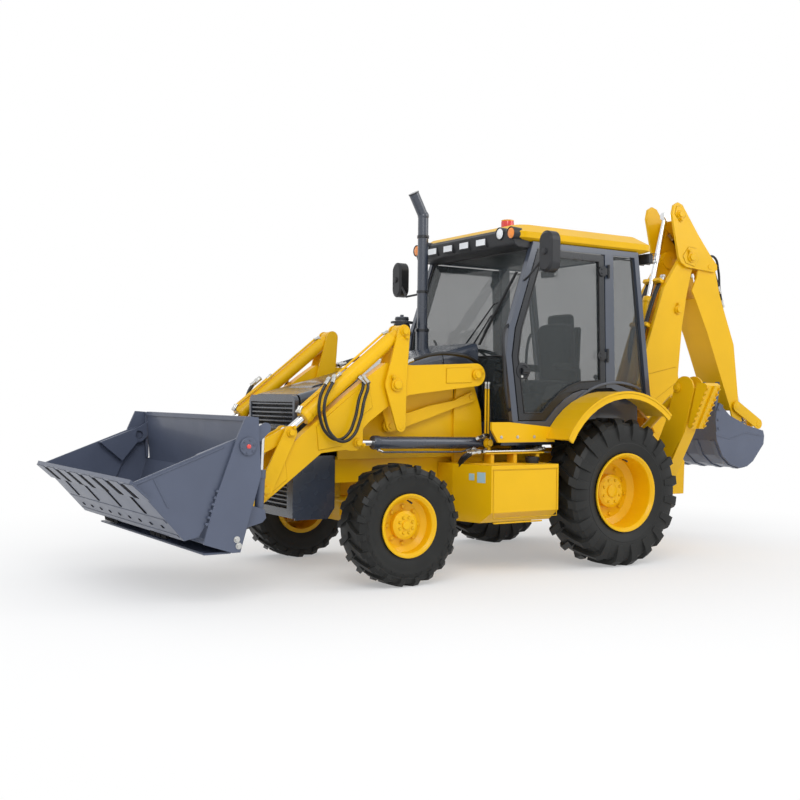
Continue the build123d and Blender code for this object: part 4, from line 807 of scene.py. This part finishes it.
def tank_trim():
    """Filler cap, weld seams, step treads and the two blank stickers on the tank."""
    build("tank_filler", "black_plastic", "chassis",
          (turned, (820, 800, 898), UP, [(0, 55), (20, 55), (20, 60), (50, 60), (56, 52), (56, 0)]))
    seam = (TANK_FACE - 0.5, TANK_FACE + 4)
    build("tank_seams", "yellow_paint", "chassis",
          *((block, 712, 1388, *seam, z, z + 8, 2) for z in (470, 860)),
          *((block, x, x + 8, *seam, 470, 868, 2) for x in (716, 1376)), twin=True)
    build("step_treads", "yellow_paint", "chassis",
          *((block, 1020, 1420, 700 + y, 710 + y, 900, 906, 2) for y in range(0, 294, 42)),
          (block, 885, 1385, TANK_FACE, TANK_FACE + 20, 432, 444, 3), twin=True)
    # stickers on the slanting front face of the tank
    along, out = Vector((1, -4)).normalized(), Vector((4, 1)).normalized()
    stickers = []
    for y, half in ((898, 42.5), (800, 27.5)):
        middle = Vector((1400 + (TANK_FACE - y) * 0.25, y))
        corners = ((-half, 1.5), (half, 1.5), (half, -0.5), (-half, -0.5))
        outline = [middle + along * a + out * b for a, b in corners]
        stickers.append((prism, outline, 800 - half, 800 + half, 0, "z"))
    build("tank_stickers", "sticker", "chassis", *stickers)


def arch(centre, outer, inner, back, front):
    """Outline of a curved band over a wheel."""
    return arc(centre, outer, back, front, 24) + arc(centre, inner, front, back, 24)


def fender_trim():
    """Rolled lip of each fender, the grey band above it and the bolts of the sill."""
    build("fender_lip", "yellow_paint", "chassis",
          (prism, arch((-8, 743), 774, 750, 133, 28), 1075, 1093, 3), twin=True)
    build("arch_band", "cab_grey_paint", "chassis",
          (prism, arch((-162, 822), 783.83, 761, 112, 26), 768, 782, 3), twin=True)
    build("sill_bolts", "steel", "chassis",
          *((bolt, (x, 800, 1120), LEFT, 10) for x in (620, 800, 980, 1150)), twin=True)


bay_lines()
tank_trim()
fender_trim()


# ------------------------------------------------------------------ cab
CAB_HALF = 770
DOOR_WINDOW = [(35, 1610), (270, 1596), (390, 1560), (505, 1495), (615, 1405), (700, 1325), (885, 1325),
               (955, 1795), (925, 2015), (710, 2655), (70, 2655)]
QUARTER = [(-500, 1505), (-150, 1600), (-112, 2700), (-352, 2700)]
WINDSCREEN = [(990, 1246), (1070, 1800), (1038, 2044), (809, 2715)]
SCREEN_HALF = 705
ROOF_LAMPS = (-450, -200, 50, 300)
WORK_LAMPS, TURN_LAMPS = (565, 2845), (720, 2835)
LENS = [(0, 46), (6, 45), (14, 30), (17, 0)]
BEACON = (760, 350)
MIRRORS = ((1100, 2645), (-1166, 2600))


def roof_trim():
    """Black panel under the roof's front edge with its lamps, the beacon and the rear lamps."""
    lamps = [(side * y, z) for y, z in (WORK_LAMPS, TURN_LAMPS) for side in (1, -1)]
    panel = [(815, 2716), (955, 2722), (990, 2745), (1008, 2800), (1010, 2852), (968, 2888), (955, 2880),
             (990, 2846), (970, 2800), (850, 2785), (815, 2770)]
    build("lamp_bodies", "black_plastic", "chassis", (prism, panel, -742, 742, 5),
          *((block, 925, 1014, y - 86, y + 86, 2752, 2846, 10) for y in ROOF_LAMPS),
          *((turned, (900, y, z), AHEAD, [(0, 48), (60, 53), (116, 55), (118, 52), (112, 46), (112, 0)])
            for y, z in lamps))
    build("work_lamp_lenses", "lamp_white", "chassis",
          *((block, 1006, 1019, y - 70, y + 70, 2766, 2832, 7) for y in ROOF_LAMPS),
          *((turned, (1006, *place), AHEAD, LENS) for place in lamps[:2]))
    build("turn_lamp_lenses", "lamp_amber", "chassis",
          *((turned, (1006, *place), AHEAD, LENS) for place in lamps[2:]))
    build("beacon_base", "black_plastic", "chassis",
          (turned, (*BEACON, 2922), UP, [(0, 75), (12, 75), (18, 66), (24, 60), (24, 0)], 36))
    build("beacon_dome", "lamp_red", "chassis",
          (turned, (*BEACON, 2940), UP, [(0, 56.5), (40, 57.5), (62, 56), (73, 45), (77, 20), (78, 0)], 36))
    # rear lamps in wire guards
    back, front, low, high = -640, -560, 2690, 2782
    guards = []
    for y in (690, -690):
        guards.append((block, -610, -545, y - 75, y + 75, low, 2780, 8))
        wires = [((back, y - 80, z), (back, y + 80, z)) for z in (2705, 2735, 2765)]
        for across in (y - 78, y, y + 78):
            wires += [((back, across, low), (back, across, high)),
                      ((back, across, high), (front, across, high)),
                      ((back, across, low), (front, across, low))]
        guards += [(rod, start, end, 3, 8) for start, end in wires]
    build("rear_lamp_bodies", "black_plastic", "chassis", *guards)
    build("rear_lamp_lenses", "lamp_white", "chassis",
          *((block, -622, -608, y - 62, y + 62, 2702, 2768, 5) for y in (690, -690)))
    build("tail_lamps", "lamp_red", "chassis",
          *((block, -560, -540, y - 70, y + 70, 1300, 1350, 6) for y in (950, -950)))


def seals():
    """Rubber seals round the windows, and the bar across the windscreen."""
    middle = [sum(values) / len(values) for values in zip(*DOOR_WINDOW)]
    door = away_from(middle, DOOR_WINDOW, 4)
    for side_name, side in SIDES:
        for name, body, outline, y in (("door_seal", f"door_{side_name}", door, CAB_HALF),
                                       ("quarter_seal", "chassis", QUARTER, CAB_HALF - 23)):
            route = [(x, side * y, z) for x, z in outline]
            hoses(f"{name}_{side_name}", body, [route], 7, ends=False, closed=True)
    left, right = both_sides([(x + 2, SCREEN_HALF, z) for x, z in WINDSCREEN])
    hoses("windscreen_seal", "chassis", [left + right[::-1]], 9, ends=False, closed=True)
    bar = [(1073, -SCREEN_HALF, 1800), (1073, SCREEN_HALF, 1800)]
    hoses("windscreen_bar", "chassis", [bar], 6, ends=False)


def on_screen(place, off):
    """Place before the windscreen's outer face, from (y, z)."""
    y, z = place
    for (x0, z0), (x1, z1) in zip(WINDSCREEN, WINDSCREEN[1:]):
        if z <= z1:
            return (x0 + (x1 - x0) * (z - z0) / (z1 - z0) + off, y, z)


def wiper(mesh, motor, knee, low, high):
    """Wiper arm from its motor to the blade, given as (y, z) places on the windscreen."""
    for start, near, end, far, *sizes in (
            (motor, 0, motor, 50, 26), (motor, 40, knee, 40, 10, 10, 6), (low, 28, high, 28, 8, 8),
            (low, 14, high, 14, 6, 6), (knee, 40, between(low, high, 0.5), 26, 6, 8)):
        rod(mesh, on_screen(start, near), on_screen(end, far), *sizes)


def door_trim():
    """Hinge plates, lock, handle and grab rails of the doors, and the bars before them."""
    for side_name, side in SIDES:
        body = f"door_{side_name}"
        axis = (0, side, 0)
        face = side * CAB_HALF
        shapes = []
        for z in (2575, 1831):
            plate = [(60, z - 40), (85, z), (60, z + 40), (0, z + 46), (0, z - 46)]
            shapes.append((prism, plate, face + side * 15, face + side * 21, 2))
            shapes += [(bolt, (45, face + side * 21, z + up), axis, 7) for up in (18, -18)]
        handle = [(852, 1655), (932, 1662), (932, 1690), (852, 1695)]
        build(f"door_fittings_{side_name}", "black_plastic", body, *shapes,
              (turned, (905, face - side, 1674), axis,
               [(0, 70), (6, 70), (9, 64), (9, 50), (4, 46), (4, 0)], 40),
              (prism, handle, face + side * 26, face + side * 34, 4))
        build(f"door_lock_{side_name}", "steel", body,
              (turned, (920, face + side * 3, 1628), axis, [(0, 11), (6, 11), (7, 6), (5, 0)], 20))
        places = ((800, 735, 1500), (800, 700, 1540), (790, 700, 1950), (790, 735, 1990))
        rail = [(x, side * y, z) for x, y, z in places]
        hoses(f"door_grab_rail_{side_name}", body, [rail], 12, "black_plastic", ends=False)
    bar = [(1020, 735, 1340), (1075, 780, 1380), (1118, 785, 1750), (1095, 760, 2020), (1045, 745, 2060)]
    hoses("front_grab_bars", "chassis", both_sides(bar), 13, "black_plastic", ends=False)


def power(value, exponent):
    """Power that keeps the sign, for rounded boxes."""
    return math.copysign(abs(value) ** exponent, value)


def cushion(name, centre, size, tilt, channels):
    """Crowned cushion: a rounded form with sewn channels across it; tilt in degrees about Y."""
    around, upward = 64, 32
    mesh = bmesh.new()
    long, wide, thick = (value / 2 / MM for value in size)
    rows = []
    for step in range(upward + 1):
        rise = math.pi * (step / upward - 0.5)
        corners = []
        for index in range(around):
            angle = math.tau * index / around
            # places on the form as shares of its half sizes
            x = power(math.cos(rise), 0.35) * power(math.cos(angle), 0.35)
            y = power(math.cos(rise), 0.35) * power(math.sin(angle), 0.35)
            z = power(math.sin(rise), 0.75)
            if z > 0:                       # sewn channels and the crown between them
                z *= 1 - 0.22 * sum(math.exp(-((x - place) / 0.05) ** 2) for place in channels)
                z *= 0.88 + 0.12 * (1 - x ** 2) * (1 - y ** 4)
                z *= 1 - 0.16 * math.exp(-((abs(y) - 0.62) / 0.06) ** 2)
            corners.append(mesh.verts.new((x * long, y * wide, z * thick)))
        rows.append(corners)
    skin(mesh, rows, caps=False)
    bmesh.ops.remove_doubles(mesh, verts=mesh.verts[:], dist=0.0004)
    bmesh.ops.recalc_face_normals(mesh, faces=mesh.faces[:])
    turn = Matrix.Rotation(math.radians(tilt), 4, "Y")
    bmesh.ops.transform(mesh, matrix=Matrix.Translation(at(*centre)) @ turn, verts=mesh.verts[:])
    piece = add_piece(mesh, name, "seat_cloth", "chassis", crease=80)
    return piece


def seat():
    """Padded seat: cushion, backrest, head pad and arm pads on a bellows pedestal."""
    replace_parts(cushion("seat_cushion", (80, 0, 1545), (520, 500, 150), 0, (-0.45, 0.05, 0.55)), "seat")
    cushion("seat_back", (-125, 0, 1855), (600, 480, 130), -84, (-0.5, 0.0, 0.5))
    cushion("seat_head", (-170, 0, 2165), (160, 320, 110), -84, ())
    for side_name, side in SIDES:
        cushion(f"seat_arm_{side_name}", (10, side * 285, 1745), (300, 65, 55), 0, ())
    bellows = [(block, -80 + inset, 240 - inset, -160 + inset, 160 - inset, z, z + 36, 8)
               for z, inset in zip(range(1180, 1452, 34), (0, 18) * 4)]
    arm = [(-190, 1500), (-150, 1500), (-140, 1700), (140, 1712), (140, 1728), (-180, 1728)]
    build("seat_frame", "black_plastic", "chassis", (block, -160, 300, -215, 215, 1455, 1482, 10), *bellows,
          (block, -100, 260, -180, 180, 1065, 1182, 12),
          (prism, [(-215, 1500), (-185, 1480), (-160, 1520), (-215, 2120), (-245, 2120)], -215, 215, 12),
          *((prism, arm, side * 262, side * 278, 5) for side in (1, -1)))


def cab_inside():
    """Dash hood, side consoles, pedals, lever gaiters, headliner and gauges."""
    dash = [(930, 1250), (985, 1300), (1010, 1520), (1000, 1700), (930, 1800), (850, 1810), (820, 1740),
            (845, 1560), (900, 1400)]
    console = [(-380, 1240), (330, 1240), (360, 1420), (280, 1570), (-380, 1600)]
    kick = [(930, 1245), (975, 1260), (1000, 1400), (930, 1380)]
    gaiter = [(0, 50), (18, 48), (22, 36), (40, 34), (44, 22), (60, 20), (60, 0)]
    pedals = []
    for y in (-120, 20, 120):
        pedals += [(block, 640, 740, y - 35, y + 35, 1180, 1196, 6), (rod, (700, y, 1185), (790, y, 1260), 8)]
    build("cab_inner_trim", "black_plastic", "chassis", (prism, dash, -380, 300, 25),
          *((prism, console, side * 330, side * 560, 20) for side in (1, -1)),
          *((prism, kick, y - 120, y + 120, 15) for y in (-600, 600)), *pedals,
          *((turned, (-460, y, 1455), UP, gaiter, 24) for y in (-330, -200, 200, 330)),
          (block, -540, -420, -430, 430, 1450, 1464, 8))
    build("cab_headliner", "black_plastic", "chassis", (block, -350, 770, -690, 690, 2735, 2768, 12))
    build("gauges", "steel", "chassis",
          *((turned, (835, y, 1770), (-0.9, 0, 0.44), [(0, 34), (6, 34), (10, 30), (6, 28), (6, 0)], 28)
            for y in (-90, 0, 90)))


def shell(mesh, y, z):
    """Rounded back of a mirror, with the boss of its arm."""
    front, crown = ([mesh.verts.new(at(x, *place)) for place in capsule(y, z, 88, radius, 18)]
                    for x, radius in ((944, 83), (962, 60)))
    mesh.faces.new(crown)
    skin(mesh, [front, crown], caps=False)
    turned(mesh, (955, y, z), AHEAD, [(0, 30), (18, 26), (24, 0)], 24)
    bmesh.ops.recalc_face_normals(mesh, faces=mesh.faces[:])


roof_trim()
seals()
build("wipers", "black_plastic", "chassis",
      (wiper, (-200, 1600), (490, 2250), (438, 2004), (660, 2520)),
      (wiper, (-80, 1560), (500, 2150), (380, 1900), (600, 2390)))
door_trim()
seat()
cab_inside()
build("mirror_faces", "chrome_rod", "chassis",
      *((prism, capsule(*place, 85, 70, 16), 860.5, 864, 1, "x") for place in MIRRORS))
build("mirror_shells", "black_plastic", "chassis", *((shell, *place) for place in MIRRORS))


# ------------------------------------------------------------------ digger
BOOM_FACE, DIPPER_FACE, BUCKET_FACE = 154, 189, 389


def digger_lines():
    """Hoses over the boom's back with their clamps, hoses of the dipper, and the rams' pipes."""
    hoses("hoses_boom", "boom", both_sides(*(
        [(-1255, y, 1700), (-1150, y, 1860), (-1165, y, 2060), (-1240, y, 2280), (-1330, y, 2500),
         (-1400, y, 2630), (-1450, y, 2700)] for y in (88, 60))), 12.5)
    clamps = []
    for place, slope in (((-1205, 2190), 0.42), ((-1385, 2640), 0.55)):
        way = complex(-slope, 1) / abs(complex(-slope, 1))
        corners = set_down(place, way, ((-20, -35), (20, -35), (20, 30), (-20, 30)))
        clamps.append((prism, corners, -118, 118, 4))
    build("boom_hose_clamps", "yellow_paint", "boom", *clamps)
    hoses("hoses_dipper_head", "dipper", both_sides(
        [(-1722, 122, 3165), (-1795, 122, 3095), (-1930, 122, 2960), (-2080, 122, 2870), (-2175, 122, 2700),
         (-2230, 122, 2560)]), 12.5)
    hoses("hose_loops_bucket_ram", "dipper", both_sides(
        [(-2010, 90, 2730), (-2075, 100, 2930), (-2150, 110, 2935), (-2215, 110, 2800), (-2250, 100, 2600),
         (-2300, 100, 2420)]), 12.5)
    pipe = ram_pipe(BUCKET_CYL_BASE, LEVER_END, 30, (0.1, 0.13, 0.35, 0.55, 0.58), 46, 62, (-0.9, 0.43))
    hoses("pipes_bucket_ram", "bucket_barrel", both_sides(pipe), 8, "steel", straight=True)
    pipe = ram_pipe(BOOM_CYL_BASE, BOOM_CYL_EYE, 28, (0.33, 0.36, 0.57, 0.78, 0.81), 58, 74, (-0.98, -0.18))
    hoses("pipes_boom_ram", "boom_barrel", both_sides(pipe), 8, "yellow_paint", straight=True)


def digger_plates():
    """Doubler plates round the big pivots of boom and dipper."""
    build("boom_doublers", "yellow_paint", "boom",
          *((turned, (x, BOOM_FACE, z), LEFT, [(0, radius), (5, radius), (7, radius - 3), (7, 0)], 40)
            for (x, z), radius in ((DIPPER_PIVOT, 82), (BOOM_FOOT, 78))),
          (prism, [(-1600, 1650), (-1560, 1620), (-1080, 1330), (-1010, 1400), (-1010, 1500), (-1075, 1680),
                   (-1560, 1780)], BOOM_FACE, BOOM_FACE + 6, 3), twin=True)
    build("dipper_doublers", "yellow_paint", "dipper", *(
        (prism, outline, DIPPER_FACE, DIPPER_FACE + 6, 3) for outline in (
            [(-1480, 3310), (-1500, 3390), (-1560, 3400), (-1640, 3310), (-1560, 3230)],
            [(-1640, 2830), (-1600, 2900), (-1680, 3000), (-1800, 2990), (-1830, 2880), (-1770, 2800)])),
          twin=True)


def digger_bucket_trim():
    """Side cutters with their bolts, wear strips on the shell and the crease of its sides."""
    cutter = [(-1925, 1421), (-1880, 1330), (-1870, 1238), (-1885, 1130), (-1935, 1150), (-1935, 1240),
              (-1950, 1330), (-1985, 1395)]
    build("bucket_side_cutters", "bucket_paint", "digger_bucket", (prism, cutter, BUCKET_FACE, 402, 3),
          *((bolt, (x, 402, z), LEFT, 12) for x, z in ((-1912, 1355), (-1905, 1250), (-1912, 1165))),
          twin=True)
    line = [(-2440, 815), (-2360, 768), (-2249, 755), (-2110, 795), (-1990, 888), (-1905, 1040)]
    outline = line + away_from((-2230, 1130), line, 10)[::-1]
    build("digger_wear_strips", "bucket_paint", "digger_bucket",
          *((prism, outline, y - 30, y + 30, 2) for y in (-330, -110, 110, 330)))
    crease = strip([(-2600, 1085), (-2330, 1120), (-2090, 1060), (-1905, 1100)], 12)
    build("bucket_crease", "bucket_paint", "digger_bucket", (prism, crease, BUCKET_FACE, 392.5, 1), twin=True)


def stabiliser_trim():
    """Teeth and rib of the stabiliser pads, and the legs' pins."""
    cap = [(0, 44), (6, 44), (9, 38), (9, 26), (18, 24), (18, 0)]
    rib = [(1063, 1192), (1080, 1185), (1268, 1570), (1250, 1574)]
    for side_name, side in SIDES:
        teeth = []
        for (y0, z0), (y1, z1) in tooth_line((1060, 1185), (1250, 1575), 0.02, 0.08, 0.122, 8):
            corners = [(side * y, z) for y, z in ((y0, z0), (y0 + 26, z0 + 12), (y1 + 22, z1 + 2), (y1, z1))]
            teeth += [(prism, corners, low, low + 16, 2, "x") for low in (-972, -816)]
        build(f"stabiliser_trim_{side_name}", "yellow_paint", f"stabiliser_{side_name}", *teeth,
              (prism, [(side * y, z) for y, z in rib], -894, -878, 2, "x"),
              *((turned, (-792, side * y, z), AHEAD, cap, 28) for y, z in ((530, 600), (900, 1560))))


pins("boom", (BOOM_CYL_EYE, 161, 30, 90), (DIPPER_CYL_BASE, 155, 28, 200))
pins("dipper", (DIPPER_CYL_EYE, 196, 28, 250), (BUCKET_CYL_BASE, 166, 28, 30), (DIPPER_PIVOT, 198, 36, 60))
pins("digger_bucket", (DIGGER_PIVOT, 218, 28, 240), (DIGGER_EAR, 218, 24, 240))
pins("digger_levers", (LEVER_PIVOT, 194), (LEVER_END, 194), shape=pin_collar)
pins("swing_post", (BOOM_FOOT, 198), shape=pin_collar)
build("swing_pin_cap", "yellow_paint", "chassis",
      (turned, (SWING_X, 0, 790), UP, [(0, 60), (14, 60), (20, 52), (20, 0)]),
      (bolt_ring, (SWING_X, 0, 808), UP, 40, 4, 10))
digger_lines()
digger_plates()
digger_bucket_trim()
stabiliser_trim()


# ------------------------------------------------------------------ camera, floor and light
CAMERA_PLACE = (6766.3, 8048.8, 1443.8)
CAMERA_TURN = math.radians(32.49)
CAMERA_PITCH = -0.0027
CAMERA_ROLL = -0.011
CAMERA_LENS = 49.6
FLOOR_SIZE = 160                            # metres
SHADOW_NEAR, SHADOW_FAR = 2.0, 6.5          # metres between which the floor fades to white
# lamps, in metres and watts: (place, aim, size, power, seen in reflections)
SOFTBOXES = (((5, 7, 7), (0.5, 0, 1), 5, 330, True), ((-6, 6, 6), (-0.5, 0, 1), 5, 170, True),
             ((4, -7, 6), (0.5, 0, 1), 6, 130, False))


def set_camera():
    forward = Vector((-math.cos(CAMERA_PITCH) * math.sin(CAMERA_TURN),
                      -math.cos(CAMERA_PITCH) * math.cos(CAMERA_TURN), math.sin(CAMERA_PITCH)))
    right = forward.cross(Vector(UP)).normalized()
    up = right.cross(forward)
    level = right * math.cos(CAMERA_ROLL) - up * math.sin(CAMERA_ROLL)
    top = right * math.sin(CAMERA_ROLL) + up * math.cos(CAMERA_ROLL)
    data = bpy.data.cameras.new("camera")
    data.lens = CAMERA_LENS
    data.sensor_width = 36
    data.clip_end = 200
    camera = bpy.data.objects.new("camera", data)
    turn = Matrix((level, top, -forward)).transposed().to_4x4()
    camera.matrix_world = Matrix.Translation(at(*CAMERA_PLACE)) @ turn
    bpy.context.scene.collection.objects.link(camera)
    bpy.context.scene.camera = camera


def seen_rays(tree):
    """One for rays from the camera, reflections and glass, and nought for the others."""
    path = add(tree, "LightPath").outputs
    seen = calculate(tree, "MAXIMUM", path["Is Camera Ray"], path["Is Glossy Ray"])
    return calculate(tree, "MAXIMUM", seen, path["Is Transmission Ray"])


def mix_in(tree, share, plain, white, output):
    """Shows white in place of the plain shader by a share."""
    mix = add(tree, "MixShader", Fac=share)
    tree.links.new(plain, mix.inputs[1])
    tree.links.new(white, mix.inputs[2])
    put(tree, tree.nodes[output], Surface=mix.outputs["Shader"])


def set_floor():
    """Pale floor that keeps the shadow near the machine and fades to white away from it."""
    bpy.ops.mesh.primitive_plane_add(size=FLOOR_SIZE, location=(0, 0, 0))
    floor = bpy.context.object
    floor.name = "floor"
    material, tree, shader = new_material("floor")
    put(tree, shader, Base_Color=(0.93, 0.93, 0.93, 1), Roughness=1.0, Specular_IOR_Level=0.0)
    length = add(tree, "VectorMath")
    length.operation = "LENGTH"
    tree.links.new(surface(tree), length.inputs[0])
    away = add(tree, "MapRange", Value=length.outputs["Value"], From_Min=SHADOW_NEAR, From_Max=SHADOW_FAR,
               To_Min=0.35)
    away.interpolation_type = "SMOOTHSTEP"
    share = calculate(tree, "MULTIPLY", away.outputs["Result"], seen_rays(tree))
    mix_in(tree, share, shader.outputs["BSDF"], add(tree, "Emission").outputs["Emission"], "Material Output")
    floor.data.materials.append(material)


def set_light():
    world = bpy.data.worlds.new("studio")
    world.use_nodes = True
    bpy.context.scene.world = world
    tree = world.node_tree
    plain = put(tree, tree.nodes["Background"], Color=(0.95, 0.97, 1.0, 1), Strength=0.7)
    white = add(tree, "Background", Color=(1, 1, 1, 1))
    mix_in(tree, seen_rays(tree), plain.outputs["Background"], white.outputs["Background"], "World Output")
    for place, aim, size, strength, reflected in SOFTBOXES:
        data = bpy.data.lights.new("softbox", "AREA")
        data.size = size
        data.energy = strength
        lamp = bpy.data.objects.new("softbox", data)
        lamp.location = place
        lamp.visible_glossy = reflected
        lamp.rotation_euler = (Vector(aim) - Vector(place)).to_track_quat("-Z", "Y").to_euler()
        bpy.context.scene.collection.objects.link(lamp)
    bpy.context.scene.view_settings.view_transform = "Standard"


set_camera()
set_floor()
set_light()
